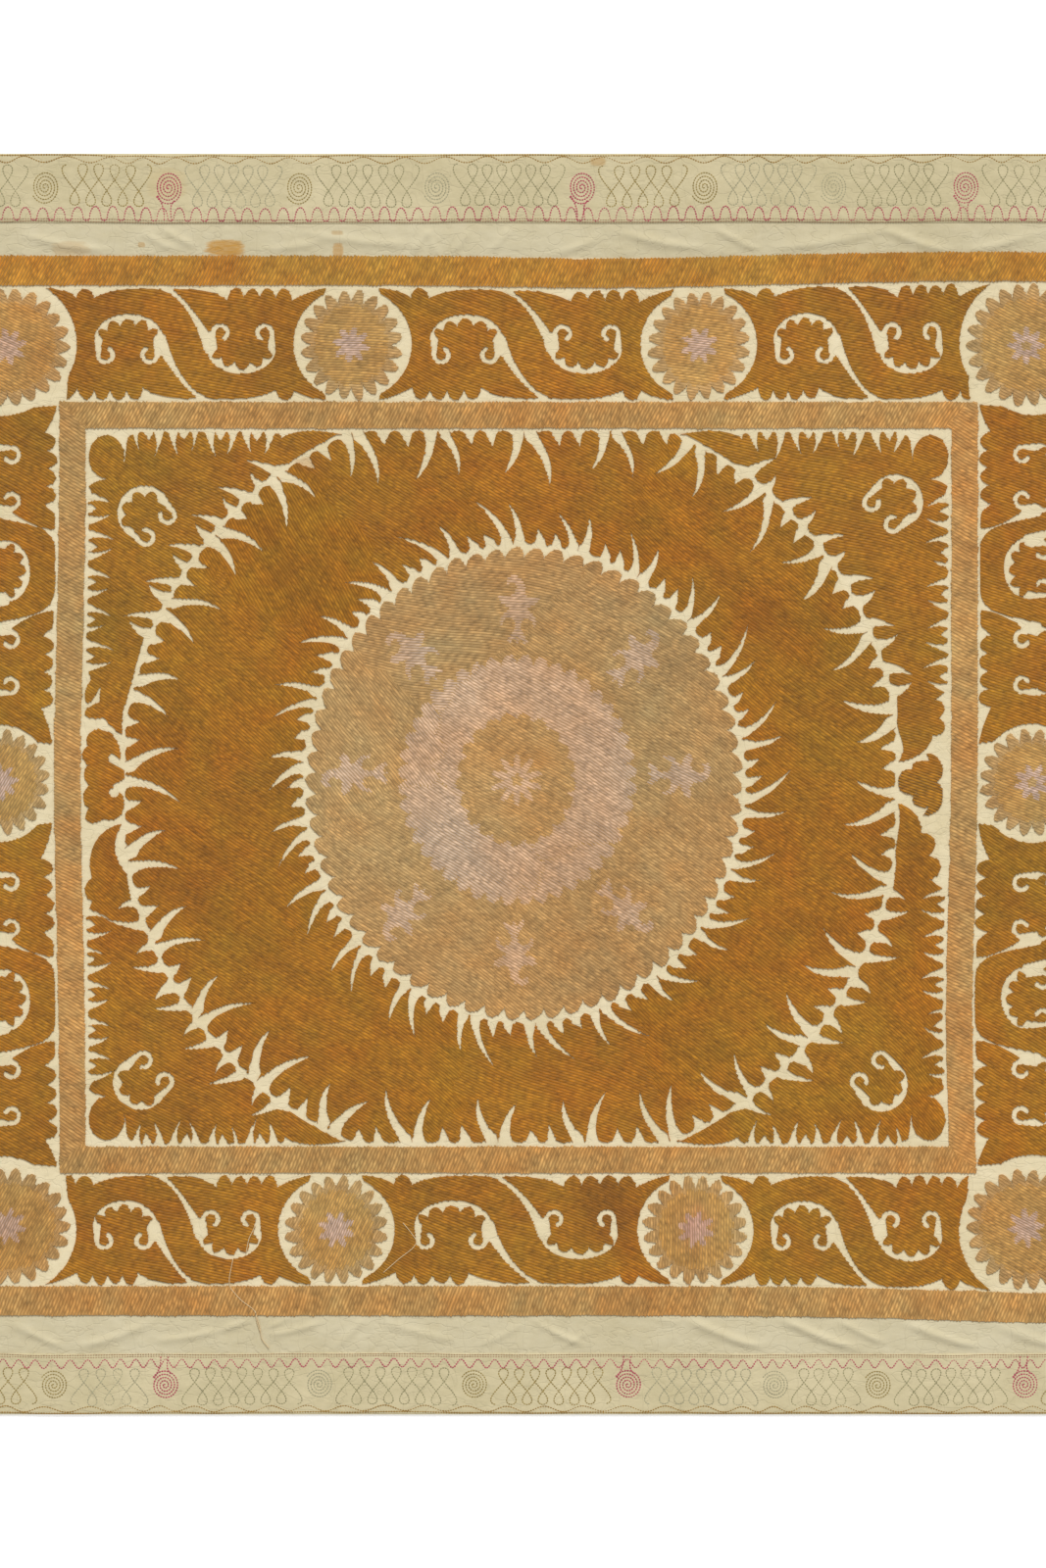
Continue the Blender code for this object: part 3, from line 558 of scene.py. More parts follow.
# %%
# Tables of the layout.
ROSETTES = (
    ("rosette_top_1", -583.0, 503.0, 72.0, 68.5, 22, -35.0),
    ("rosette_top_2", -188.0, 505.0, 59.0, 63.5, 20, -12.0),
    ("rosette_top_3", 212.0, 505.0, 59.0, 63.5, 20, -18.0),
    ("rosette_top_4", 588.0, 503.5, 68.5, 68.5, 22, -33.0),
    ("rosette_left", -590.0, 2.0, 62.0, 61.0, 20, 48.0),
    ("rosette_right", 595.0, 2.0, 60.0, 62.0, 20, -30.0),
    ("rosette_bottom_1", -583.0, -509.0, 72.0, 67.0, 22, 52.0),
    ("rosette_bottom_2", -205.0, -512.5, 59.0, 62.5, 20, 56.0),
    ("rosette_bottom_3", 208.0, -512.5, 60.0, 62.5, 20, 80.0),
    ("rosette_bottom_4", 588.0, -508.5, 68.5, 65.5, 22, -38.0),
)
BLOCKS = (
    ("scroll_top_1", -379.0, 506.5, 124.0, 64.0, 0.0, 2, -1, 1, -18.0),
    ("scroll_top_2", 13.0, 506.5, 131.0, 64.0, 0.0, 2, 0, 1, -26.0),
    ("scroll_top_3", 395.0, 506.5, 116.0, 64.0, 0.0, 2, 1, 1, -20.0),
    ("scroll_bottom_1", -388.0, -512.5, 115.5, 62.5, 0.0, 2, -1, -1, -20.0),
    ("scroll_bottom_2", 1.5, -512.5, 139.0, 62.5, 0.0, 2, 0, -1, -24.0),
    ("scroll_bottom_3", 393.0, -513.0, 118.0, 62.5, 0.0, 2, 1, -1, -33.0),
    ("scroll_left_upper", -591.0, 246.0, 177.0, 64.5, -90.0, 3, -1, -1, -38.0),
    ("scroll_left_lower", -591.0, -247.0, 180.0, 64.5, -90.0, 3, 1, -1, -34.0),
    ("scroll_right_upper", 595.5, 247.0, 177.0, 61.0, 90.0, 3, 1, -1, -28.0),
    ("scroll_right_lower", 595.5, -247.0, 179.0, 61.0, 90.0, 3, -1, -1, -38.0),
)
CORNERS = (
    ("corner_field_top_left", -1, 1, -426.0, 311.0, -35.0),
    ("corner_field_top_right", 1, 1, 437.0, 326.0, -20.0),
    ("corner_field_bottom_left", -1, -1, -429.0, -344.0, -36.0),
    ("corner_field_bottom_right", 1, -1, 423.0, -344.0, -44.0),
)

# Large motifs are filled in fields: middle x, middle y and thread direction of each field.
FIELDS = {
    "medallion": ((-110, 205, -14), (40, 60, -37), (120, -200, -42), (-215, 60, -58), (-120, -120, -41)),
    "wreath": (
        (20, 365, -34), (260, 270, -43), (350, 0, -43), (240, -270, -45), (60, -350, -27), (-180, -310, -37),
        (-345, -60, -41), (-330, 130, -50), (-250, 270, -66), (-140, 345, -42),
    ),
    "band_outer": ((0, 590, 58), (0, -600, 62), (-676, 0, -38), (676, 0, -34)),
    "band_inner": ((0, 424, 56), (0, -432, 60), (-508, 0, -36), (517, 0, -34)),
}
print("motifs:", len(ROSETTES) + len(BLOCKS) + len(CORNERS) + 6)

# %% [markdown]
# Two bands of one width run round the cloth as straight as the hand could draw them, with an edge that
# wavers by a millimetre.

# %%
# Bands and the whole layout.
def rectangle(left, right, bottom, top, long_steps, short_steps):
    """Closed rectangle, clockwise from its upper left corner, with even points along each side."""
    corners = [(left, top), (right, top), (right, bottom), (left, bottom), (left, top)]
    sides = []
    for k, (here, there) in enumerate(zip(corners[:-1], corners[1:])):
        share = np.linspace(0, 1, (long_steps if k % 2 == 0 else short_steps) + 1)[:-1, None]
        sides.append(np.array(here) + (np.array(there) - np.array(here)) * share)
    return np.vstack(sides)


def band_outlines(band):
    """Outer and inner outline of a band worked round the cloth."""
    left, right, bottom, top, width = (band[key] for key in ("left", "right", "bottom", "top", "width"))
    outer = rectangle(left, right, bottom, top, 120, 100)
    inner = rectangle(left + width, right - width, bottom + width, top - width, 110, 90)
    return [line + dice.normal(0.0, 0.35, line.shape) for line in (outer, inner)]


def layout():
    """Every worked piece as name, material slot, its closed outlines and its thread directions."""
    pieces = [
        ("medallion", "tan_silk", [medallion_outline()], FIELDS["medallion"]),
        ("wreath", "brown_silk", [wreath_outer(), wreath_inner()], FIELDS["wreath"]),
    ]
    for name, sign_x, sign_y, leaf_x, leaf_y, lay in CORNERS:
        far_side, back = leaf_hollow(LEAF_RADIUS, LEAF_RADIUS, 0.58, 0.29, 4)
        turn = sign_x * (90.0 + 45.0 * sign_y)
        hollow = placed(np.vstack([far_side, back[1:-1]]), turn, (leaf_x, leaf_y))
        pieces.append((name, "brown_silk", [corner_outline(name, sign_x, sign_y), hollow], ((0, 0, lay),)))
    for name, x, y, radius_x, radius_y, petals, lay in ROSETTES:
        outline = rosette_outline(radius_x, radius_y, petals) + (x, y)
        pieces.append((name, "tan_silk", [outline], ((x, y, lay),)))
    for name, x, y, length, half_width, turn, units, corner_end, outer_side, lay in BLOCKS:
        outline = block_outline(length, units, corner_end, outer_side) * (1.0, half_width / BLOCK_EDGE)
        pieces.append((name, "brown_silk", [placed(outline, turn, (x, y))], ((x, y, lay),)))
    pieces += [
        ("flower_left", "brown_silk", [left_flower()], ((0, 0, -40.0),)),
        ("flower_right", "brown_silk", [right_flower()], ((0, 0, -30.0),)),
        ("band_outer", "band_silk", band_outlines(OUTER_BAND), FIELDS["band_outer"]),
        ("band_inner", "band_silk", band_outlines(INNER_BAND), FIELDS["band_inner"]),
    ]
    return [(name, slot, [drifted(line) for line in lines], lay) for name, slot, lines, lay in pieces]


worked = layout()
print("outline points in all:", sum(len(line) for piece in worked for line in piece[2]))

# %% [markdown]
# Some motifs are only a change of colour in the silk: the rose ring of the medallion with its tan core
# and star, eight sprigs round it, and a star in each rosette.

# %%
# Motifs that are a change of colour.
ROSE_RING = np.array([2.5, 4.5])
SPRIGS = ((4, 198, 2), (138, 143, 47), (186, 10, 92), (124, -142, 136), (0, -192, 178), (-127, -146, 223),
          (-182, 12, 268), (-114, 147, 318))
SPRIG_SIDE = (
    (7.5, 20.6), (12.1, 16.8), (19.6, 18.7), (26.2, 15.9), (21.5, 9.3), (14.0, 5.6), (10.3, 4.7), (15.9, 0.0),
    (21.5, -6.5), (22.4, -16.8), (19.2, -16.8), (17.0, -9.3), (12.1, -6.5), (7.5, -7.5), (4.2, -11.2),
    (3.4, -18.7), (7.5, -24.3), (13.0, -33.0), (10.3, -36.8), (5.0, -31.8), (2.2, -31.0), (0.0, -39.2),
)
SPRIG_HOOK = (
    (-5.5, 20.6), (-3.2, 28.0), (-5.6, 32.7), (-10.3, 32.7), (-12.1, 29.5), (-14.8, 30.8), (-15.0, 37.4),
    (-8.4, 41.5), (0.9, 39.3), (6.6, 31.0),
)


def star(radius, inner, arms, start):
    """Star with soft arms, clockwise: inner + (radius - inner) * swing^0.8, swing a cosine from 0 to 1."""
    angle = np.radians(start - 360.0 * np.linspace(0, 1, arms * 8, endpoint=False))
    swing = 0.5 + 0.5 * np.cos(arms * (angle - np.radians(start)))
    reach = inner + (radius - inner) * swing**0.8
    return np.column_stack([np.cos(angle), np.sin(angle)]) * reach[:, None]


def scalloped(radii, depth, count):
    """Oval with a scalloped edge about 0, 0."""
    valleys = arc((0.0, 0.0), np.array(radii) - depth, 90.0, -360.0, count)
    return lobed(valleys, depth)[:-1]


def sprig():
    """Upright sprig, clockwise: hooked head, two leaves, two hooks and a foot with three prongs."""
    side = np.array(SPRIG_SIDE)
    other = (side[:-1] * (-1.0, 1.0))[:0:-1]
    return np.vstack([side, other, np.array(SPRIG_HOOK)])


colour_motifs = [
    ("medallion", "rose", scalloped((138.0, 145.0), 12.5, 44) + ROSE_RING),
    ("medallion", "tan", scalloped((70.0, 78.0), 10.0, 21) + ROSE_RING + (-1.0, 0.5)),
    ("medallion", "rose", star(31.0, 13.0, 10, 90.0) + ROSE_RING),
    ("medallion", "tan", star(7.5, 5.0, 5, 90.0) + ROSE_RING),
]
for x, y, way in SPRIGS:
    stretch = dice.uniform(0.92, 1.04, 2)
    colour_motifs.append(("medallion", "rose", placed(sprig() * stretch, -way, (x, y))))
for name, x, y, radius_x, radius_y, petals, lay in ROSETTES:
    colour_motifs.append((name, "amber", scalloped((radius_x - 15.0, radius_y - 15.0), 5.0, petals) + (x, y)))
    colour_motifs.append((name, "mauve", star(22.0, 11.5, 8, dice.uniform(0, 45)) + (x, y)))
    if name in ("rosette_top_4", "rosette_right"):
        colour_motifs.append((name, "tan", star(6.5, 4.5, 5, 90.0) + (x, y)))
print("motifs in another colour:", len(colour_motifs))

# %% [markdown]
# ## Chart
#
# The rows of thread need to know where each field begins and ends. The outlines are filled into a chart
# of 0.8 mm squares: a square is inside an outline when a line across the chart meets it an odd number of
# times. A square of a band belongs to the nearest of its four sides, which meet at the corners as 84 mm
# more length than height asks. A square of a large motif belongs to the nearest field, with a ragged edge.

# %%
# The chart of fields.
CELL = 0.8
BAND_LONGER_BY = 84.0
OTHER_SIDE = 3000.0
RAGGED_FIELD_EDGE = 16.0
CHART_SHAPE = (int(2 * HALF_WIDTH / CELL), int(2 * HALF_LENGTH / CELL))


def filled(outlines):
    """Squares of the chart inside the outlines, by counting crossings along each row of squares."""
    crossings = np.zeros((CHART_SHAPE[0], CHART_SHAPE[1] + 1), np.int16)
    for line in outlines:
        x = (line[:, 0] + HALF_LENGTH) / CELL
        y = (line[:, 1] + HALF_WIDTH) / CELL - 0.5
        next_x, next_y = np.roll(x, -1), np.roll(y, -1)
        first = np.ceil(np.minimum(y, next_y)).astype(int)
        count = np.ceil(np.maximum(y, next_y)).astype(int) - first
        edge = np.repeat(np.arange(len(x)), count)
        row = first[edge] + np.arange(len(edge)) - np.repeat(np.cumsum(count) - count, count)
        share = (row - y[edge]) / (next_y - y)[edge]
        column = np.ceil(x[edge] + share * (next_x - x)[edge] - 0.5).astype(int)
        np.add.at(crossings, (row, np.clip(column, 0, CHART_SHAPE[1])), 1)
    return np.cumsum(crossings[:, :-1], axis=1) % 2 == 1


def cloudy(x, y, size, seed):
    """Soft clouds from -1 to 1: random values on a coarse grid, blended smoothly between its points."""
    grid = np.random.default_rng(seed).uniform(-1, 1, (200, 200))
    u, v = (x + 2000.0) / size, (y + 2000.0) / size
    left, low = np.floor(u).astype(int), np.floor(v).astype(int)
    a, b = u - left, v - low
    a, b = a * a * (3 - 2 * a), b * b * (3 - 2 * b)
    left, low = left % 199, low % 199
    lower = grid[low, left] * (1 - a) + grid[low, left + 1] * a
    upper = grid[low + 1, left] * (1 - a) + grid[low + 1, left + 1] * a
    return lower * (1 - b) + upper * b


square_y, square_x = np.mgrid[0:CHART_SHAPE[0], 0:CHART_SHAPE[1]]
square_x = (square_x + 0.5) * CELL - HALF_LENGTH
square_y = (square_y + 0.5) * CELL - HALF_WIDTH
chart = np.full(CHART_SHAPE, -1, np.int16)
areas = []
for name, slot, outlines, lay in worked:
    inside = filled(outlines)
    x, y = square_x[inside], square_y[inside]
    if name.startswith("band"):
        away = [-abs(y) - BAND_LONGER_BY if way_y else -abs(x) for _, way_y, _ in lay]
        away = [far + OTHER_SIDE * (x * way_x + y * way_y < 0) for far, (way_x, way_y, _) in zip(away, lay)]
    else:
        away = [np.hypot(x - mid_x, y - mid_y) + RAGGED_FIELD_EDGE * cloudy(x, y, 17.0, 60 + k)
                for k, (mid_x, mid_y, _) in enumerate(lay)]
    chart[inside] = np.argmin(away, axis=0) + len(areas)
    colour = slot.removesuffix("_silk")
    areas += [(name, "gold" if (name, way) == ("band_outer", 58) else colour, way) for _, _, way in lay]
for name, colour, outline in colour_motifs:
    inside = filled([drifted(outline)]) & (chart >= 0)
    for old in np.unique(chart[inside]):
        chart[inside & (chart == old)] = len(areas)
        areas.append((name, colour, areas[old][2]))
print("fields of thread:", len(areas), "and worked share of the cloth:", round(float((chart >= 0).mean()), 2))

# %% [markdown]
# ## Colours
#
# Silk dyed by hand is never even: each row differs a little, and slow changes run over the whole cloth.
# Colours are written as they look on a screen and changed to light values.

# %%
# Colours and slow changes. A silk has its screen colour, its mottling, the width of a row, the length
# of a stitch and the height of a crest.
SILK = {
    "brown": ((188, 126, 26), 0.07, 3.1, 5.0, 0.85),
    "tan": ((212, 168, 106), 0.05, 3.0, 5.0, 0.8),
    "rose": ((230, 192, 158), 0.03, 3.0, 4.6, 0.7),
    "band": ((218, 166, 96), 0.07, 3.4, 5.0, 0.95),
    "gold": ((214, 152, 54), 0.07, 3.4, 5.0, 0.95),
    "amber": ((216, 164, 88), 0.05, 3.0, 4.6, 0.8),
    "mauve": ((228, 190, 166), 0.03, 2.6, 4.0, 0.8),
}
STAINS = (
    (-332.0, 598.0, 34.0, 22.0, (196, 120, 30), 0.75),
    (-205.0, 610.0, 14.0, 12.0, (206, 150, 60), 0.45),
    (112.0, -485.0, 34.0, 46.0, (112, 66, 18), 0.55),
    (208.0, -508.0, 20.0, 26.0, (205, 110, 90), 0.45),
    (-232.0, 366.0, 20.0, 12.0, (150, 84, 20), 0.4),
)


def light(colour):
    """Screen colour from 0 to 255 as light values from 0 to 1."""
    share = np.asarray(colour, float) / 255.0
    return np.where(share <= 0.04045, share / 12.92, ((share + 0.055) / 1.055) ** 2.4)


def dyed(colour, x, y, row_luck):
    """Light values of silk of one colour at places, darker and redder in some rows and clouds."""
    screen, mottling = SILK[colour][:2]
    cloud = 0.5 * cloudy(x, y, 95.0, 3) + 0.4 * cloudy(x, y, 30.0, 4) + 0.7 * cloudy(x, y, 8.0, 5)
    tone = 1.0 + 0.17 * cloud + 0.1 * row_luck
    mottled = cloudy(x, y, 26.0, 9) + 0.6 * cloudy(x, y, 7.0, 10)
    warm = 0.08 * cloudy(x, y, 120.0, 6) + mottling * mottled
    tones = [tone * (1 + 0.3 * warm), tone * (1 - warm), tone * (1 - 2.4 * warm)]
    made = light(screen) * np.column_stack(tones)
    for stain_x, stain_y, reach_x, reach_y, stain, strength in STAINS:
        far = ((x - stain_x) / reach_x) ** 2 + ((y - stain_y) / reach_y) ** 2
        share = (strength * np.exp(-(far**1.4)) * (0.8 + 0.35 * cloudy(x, y, 11.0, 8)))[:, None]
        made = made * (1 - share) + light(stain) * share
    return np.clip(made, 0.0, 1.0)


print("brown silk as light:", np.round(light(SILK["brown"][0]), 3))

# %% [markdown]
# ## Rows of thread
#
# The silk is laid in long rows and tied down by small stitches across them. Each row is a low ridge:
# two valley lines and a crest that rises and falls from stitch to stitch. A row keeps only the runs
# that lie inside its field.

# %%
# Rows of thread.
SHORTEST_RUN = 1.5
VALLEY_DROP = 0.12


def laid_point(s, n, angle, middle):
    """Place of a point s along and n across the rows: a straight grid with two slow waves in n."""
    across = n + 12.0 * np.sin(s / 78.0 + n / 190.0) + 0.8 * np.sin(s / 17.0 - n / 37.0)
    cos, sin = np.cos(np.radians(angle)), np.sin(np.radians(angle))
    return middle[0] + s * cos - across * sin, middle[1] + s * sin + across * cos


def runs_in(area, width):
    """Rows of one field cut to its outline, as row number, start and end of each run along the row."""
    rows, columns = np.nonzero(chart == area)
    x, y = square_x[0, columns], square_y[rows, 0]
    middle = np.array([(x.min() + x.max()) / 2, (y.min() + y.max()) / 2])
    reach = np.hypot(x.max() - x.min(), y.max() - y.min()) / 2 + 12.0
    s = np.arange(-reach, reach, CELL)
    number = np.arange(-int(reach / width), int(reach / width) + 1)
    place_x, place_y = laid_point(s[None, :], number[:, None] * width, areas[area][2], middle)
    column = np.clip(((place_x + HALF_LENGTH) / CELL).astype(int), 0, CHART_SHAPE[1] - 1)
    row = np.clip(((place_y + HALF_WIDTH) / CELL).astype(int), 0, CHART_SHAPE[0] - 1)
    inside = np.pad(chart[row, column] == area, ((0, 0), (1, 1))).astype(np.int8)
    change = np.diff(inside, axis=1)
    run_row, start = np.nonzero(change == 1)
    end = np.nonzero(change == -1)[1]
    long_enough = (end - start) * CELL > SHORTEST_RUN
    return number[run_row[long_enough]], s[start[long_enough]], s[end[long_enough] - 1] + CELL / 2, middle


def ridges(area):
    """Ridge points, faces, light values and thread coordinates of all rows of one field."""
    _, colour, angle = areas[area]
    _, _, width, stitch, tallest = SILK[colour]
    number, start, end, middle = runs_in(area, width)
    start = start - dice.uniform(0.0, 1.0, len(start))
    end = end + dice.uniform(0.0, 1.0, len(end))
    pieces = np.maximum(1, np.round((end - start) / stitch).astype(int))
    run = np.repeat(np.arange(len(pieces)), pieces + 1)
    step = np.arange(len(run)) - np.repeat(np.cumsum(pieces + 1) - pieces - 1, pieces + 1)
    share = step / pieces[run]
    at_end = (step == 0) | (step == pieces[run])
    s = start[run] + (end - start)[run] * share
    luck = dice.uniform(-1, 1, len(run))
    grain = dice.uniform(-1, 1, len(run))
    first_tie = dice.integers(0, 2, len(pieces))
    tied = np.where((step + first_tie[run]) % 2 == 0, 1.0, 0.72)
    crest = tallest * tied * (1 + 0.12 * luck) * np.where(at_end, 0.8, 1.0)
    half = width / 2 * np.where(at_end, 0.8, 1.03)
    n = number[run] * width
    points, tints = [], []
    row_luck = dice.uniform(-1, 1, len(pieces))[run] + 0.6 * luck
    for side in (-1, 0, 1):
        x, y = laid_point(s, n + side * half, angle, middle)
        z = SILK_TOP - VALLEY_DROP + (crest + VALLEY_DROP if side == 0 else 0.0 * crest)
        points.append(np.column_stack([x, y, z]))
        # Painted shade and highlight: the valley lines are painted at about half brightness as shade between
        # the rows, and the crest is painted brighter, most where the stitch stands high.
        shade = (0.88 + 0.34 * (tied > 0.9) + 0.22 * grain) if side == 0 else 0.46 + 0.12 * grain
        tints.append(dyed(colour, x, y, row_luck) * shade[:, None])
    points = np.stack(points, axis=1).reshape(-1, 3)
    tints = np.stack(tints, axis=1).reshape(-1, 3)
    across = np.repeat(n, 3) + np.tile([-width / 2, 0.0, width / 2], len(s))
    thread = np.column_stack([np.repeat(s, 3), across])
    first = 3 * np.nonzero(step < pieces[run])[0]
    quads = np.vstack([
        np.column_stack([first, first + 3, first + 4, first + 1]),
        np.column_stack([first + 1, first + 4, first + 5, first + 2]),
    ])
    return points, quads, tints, thread


rows_found = runs_in(0, 3.0)
print("rows in the first field of the medallion:", len(rows_found[0]))

# %% [markdown]
# ## Materials
#
# A small class lets ordinary sums build the node tree of a material.

# %%
# Shader sums.
class Shade:
    """A value in a material's node tree that ordinary sums work on."""

    def __init__(self, tree, socket):
        self.tree = tree
        self.socket = socket

    def make(self, kind, output, inputs, **settings):
        """New node of any kind with its inputs linked or set; gives one of its outputs."""
        node = self.tree.nodes.new(kind)
        for key, value in settings.items():
            setattr(node, key, value)
        for key, value in inputs.items():
            if isinstance(value, Shade):
                self.tree.links.new(value.socket, node.inputs[key])
            else:
                node.inputs[key].default_value = value
        return Shade(self.tree, node.outputs[output])

    def math(self, operation, *others):
        return self.make("ShaderNodeMath", 0, dict(enumerate((self, *others))), operation=operation)

    def __add__(self, other):
        return self.math("ADD", other)

    def __sub__(self, other):
        return self.math("SUBTRACT", other)

    def __mul__(self, other):
        return self.math("MULTIPLY", other)

    def __truediv__(self, other):
        return self.math("DIVIDE", other)

    def __pow__(self, other):
        return self.math("POWER", other)

    def mix(self, low, high):
        """Colour between two colours, with this value as the share of the second."""
        return self.make("ShaderNodeMix", 2, {0: self, 6: low, 7: high}, data_type="RGBA")

    def tinted(self, share, tint):
        """This colour times a tint, as far as the share says."""
        inputs = {0: share, 6: self, 7: (*tint, 1.0)}
        return self.make("ShaderNodeMix", 2, inputs, data_type="RGBA", blend_type="MULTIPLY")

    def ramp(self, low, high, first=0.0, last=1.0):
        """This value changed evenly, from first at low to last at high, and held beyond both."""
        return self.make("ShaderNodeMapRange", 0, {"Value": self, 1: low, 2: high, 3: first, 4: last})

    def part(self, number):
        """One of the three numbers of a place."""
        return self.make("ShaderNodeSeparateXYZ", number, {"Vector": self})

    def noise(self, stretch, scale, detail=2.0, rough=0.5):
        """Noise read at these coordinates, stretched along each axis."""
        moved = self.make("ShaderNodeMapping", 0, {"Vector": self, "Scale": stretch})
        inputs = {"Vector": moved, "Scale": scale, "Detail": detail, "Roughness": rough}
        return self.make("ShaderNodeTexNoise", 0, inputs)


def new_material(name, roughness, sheen):
    """Material with its shader's fixed values set; gives the material, its shader and a starting value."""
    material = bpy.data.materials.new(name)
    material.use_nodes = True
    shader = material.node_tree.nodes["Principled BSDF"]
    shader.inputs["Roughness"].default_value = roughness
    shader.inputs["Sheen Weight"].default_value = sheen
    shader.inputs["Specular IOR Level"].default_value = 0.3
    coordinates = material.node_tree.nodes.new("ShaderNodeTexCoord")
    return material, shader, Shade(material.node_tree, coordinates.outputs["Object"])


def join(shader, **values):
    """Links made values to the shader's inputs."""
    for key, value in values.items():
        value.tree.links.new(value.socket, shader.inputs[key.replace("_", " ")])


print("shader sums are ready")

# %% [markdown]
# Silk takes its colour from the point colours of its rows. Fine fibres run along each row, so their
# noise is stretched along the thread coordinates.

# %%
# Silk and stitching thread.
def thread_material(name, roughness, fibre, strength):
    """Thread coloured by its points, with fine fibres along it as streaks and as relief."""
    material, shader, place = new_material(name, roughness, 0.04)
    colour = place.make("ShaderNodeAttribute", 0, {}, attribute_name="silk")
    along = place.make("ShaderNodeUVMap", 0, {}, uv_map="thread")
    streak = along.noise((fibre / 9.0, fibre, 1.0), 1.0, 2.0)
    patch = place.noise((1.0, 1.0, 1.0), 90.0, 3.0)
    deep = colour.tinted(1.0, (0.60, 0.54, 0.44))
    share = (streak * 0.6 + patch * 0.4).ramp(0.36, 0.66, 1.0, 0.0)
    bump = place.make("ShaderNodeBump", 0, {"Strength": strength, "Distance": 0.0004, "Height": streak})
    join(
        shader, Base_Color=(share * 0.42).mix(colour, deep), Roughness=streak * 0.3 + (roughness - 0.15),
        Normal=bump,
    )
    return material


silk = thread_material("silk_thread", 0.55, 2600.0, 0.5)
cotton_thread = thread_material("chain_stitch_thread", 0.6, 1800.0, 0.3)
print("materials:", silk.name, cotton_thread.name)

# %% [markdown]
# Cotton is woven of uneven yarn: noise drawn out along x for one set of yarns and along y for the
# other. Soft stains lie on it where they lie on the silk.

# %%
# Woven cotton.
def spot(place, x, y, reach_x, reach_y, ragged):
    """Share from 0 to 1 inside a soft spot with squarish ends, its edge made ragged by a noise."""
    far_x = (((place.part(0) - x * MM) / (reach_x * MM)) ** 2.0) ** 1.6
    far_y = (((place.part(1) - y * MM) / (reach_y * MM)) ** 2.0) ** 1.6
    return (far_x + far_y + ragged).ramp(1.3, 0.5)


def crease_lines(place, stretch, scale, thin):
    """Share near 1 on thin wandering lines, where a noise passes its middle value."""
    return (place.noise(stretch, scale) - 0.5).math("ABSOLUTE").ramp(0.0, thin, 1.0, 0.0)


def cotton_material(name, pale, worn_and_crease_shade, spots, strip_shade):
    """Plain weave with slubs, slow yellowing, fine creases with painted shade along them, and stains; the
    bare strip is darker.
    """
    material, shader, place = new_material(name, 0.85, 0.15)
    warp = place.noise((160.0, 1500.0, 1.0), 1.0, 2.0)
    weft = place.noise((1500.0, 160.0, 1.0), 1.0, 2.0)
    weave = warp * 0.5 + weft * 0.5
    cloud = place.noise((1.0, 1.0, 1.0), 7.0, 4.0, 0.6)
    fine = place.noise((1.0, 1.6, 1.0), 60.0, 4.0, 0.62)
    streaks = place.noise((0.6, 3.0, 1.0), 90.0, 4.0, 0.7)
    aged = (cloud * 0.7 + fine * 0.3).ramp(0.36, 0.64)
    colour = aged.mix((*light(pale), 1.0), (*light(worn_and_crease_shade), 1.0))
    colour = ((weave - 0.42) * 1.3).mix(colour, (*np.clip(light(pale) * 1.06, 0, 1), 1.0))
    out_x = place.part(0).math("ABSOLUTE") - OUTER_BAND["right"] * MM
    out_y = place.part(1).math("ABSOLUTE") - OUTER_BAND["top"] * MM
    colour = colour.tinted(out_x.math("MAXIMUM", out_y).ramp(-0.004, 0.0), strip_shade)
    lines = crease_lines(place, (1.0, 2.2, 1.0), 26.0, 0.02) * 0.6
    lines = lines + crease_lines(place, (1.7, 0.8, 1.0), 19.0, 0.016) * 0.5
    # Painted shade along the creases: the thin crease lines are painted in the worn colour at 0.62.
    colour = (lines * (fine * 0.3)).mix(colour, (*(light(worn_and_crease_shade) * 0.62), 1.0))
    ragged = (streaks - 0.5) * 3.2
    for x, y, reach_x, reach_y, stain, strength in spots:
        patchy = spot(place, x, y, reach_x, reach_y, ragged) * (streaks * 1.3 + 0.2) * strength
        colour = patchy.math("MINIMUM", 1.0).mix(colour, (*light(stain), 1.0))
    crease = place.noise((1.0, 1.7, 1.0), 38.0, 3.0)
    height = weave * 0.25 + crease * 2.6 - lines * 0.8
    bump = place.make("ShaderNodeBump", 0, {"Strength": 0.6, "Distance": 0.0009, "Height": height})
    join(shader, Base_Color=colour, Roughness=weave * 0.2 + 0.74, Normal=bump)
    return material


GROUND_SPOTS = (
    (-333.0, 616.0, 22.0, 10.0, (200, 146, 58), 0.95),
    (-203.0, 613.0, 6.0, 9.0, (200, 148, 70), 0.75),
    (-429.0, 620.0, 4.0, 3.0, (190, 146, 80), 0.7),
    (-204.0, 634.0, 7.0, 2.5, (186, 150, 96), 0.6),
    (-510.0, 616.0, 22.0, 8.0, (190, 150, 92), 0.4),
    (-232.0, 366.0, 22.0, 10.0, (206, 150, 80), 0.5),
)
TRIM_SPOTS = (
    (-400.0, 690.0, 22.0, 18.0, (204, 178, 118), 0.35),
    (96.0, 716.0, 9.0, 5.0, (196, 150, 80), 0.6),
)
ground_cotton = cotton_material(
    "ground_cotton_weave", (243, 228, 190), (228, 211, 168), GROUND_SPOTS, (0.79, 0.81, 0.82),
)
trim_cotton = cotton_material(
    "trim_cotton_weave", (221, 207, 167), (201, 188, 146), TRIM_SPOTS, (1.0, 1.0, 1.0),
)
print("cotton materials:", ground_cotton.name, trim_cotton.name)

# %% [markdown]
# ## Silk pieces
#
# Each motif is one mesh: a thin body with the motif's outline and the ridges of thread laid on it.

# %%
# Mesh helpers.
def in_scene(name, data):
    """New object of that name with its data, linked to the scene."""
    thing = bpy.data.objects.new(name, data)
    bpy.context.scene.collection.objects.link(thing)
    return thing


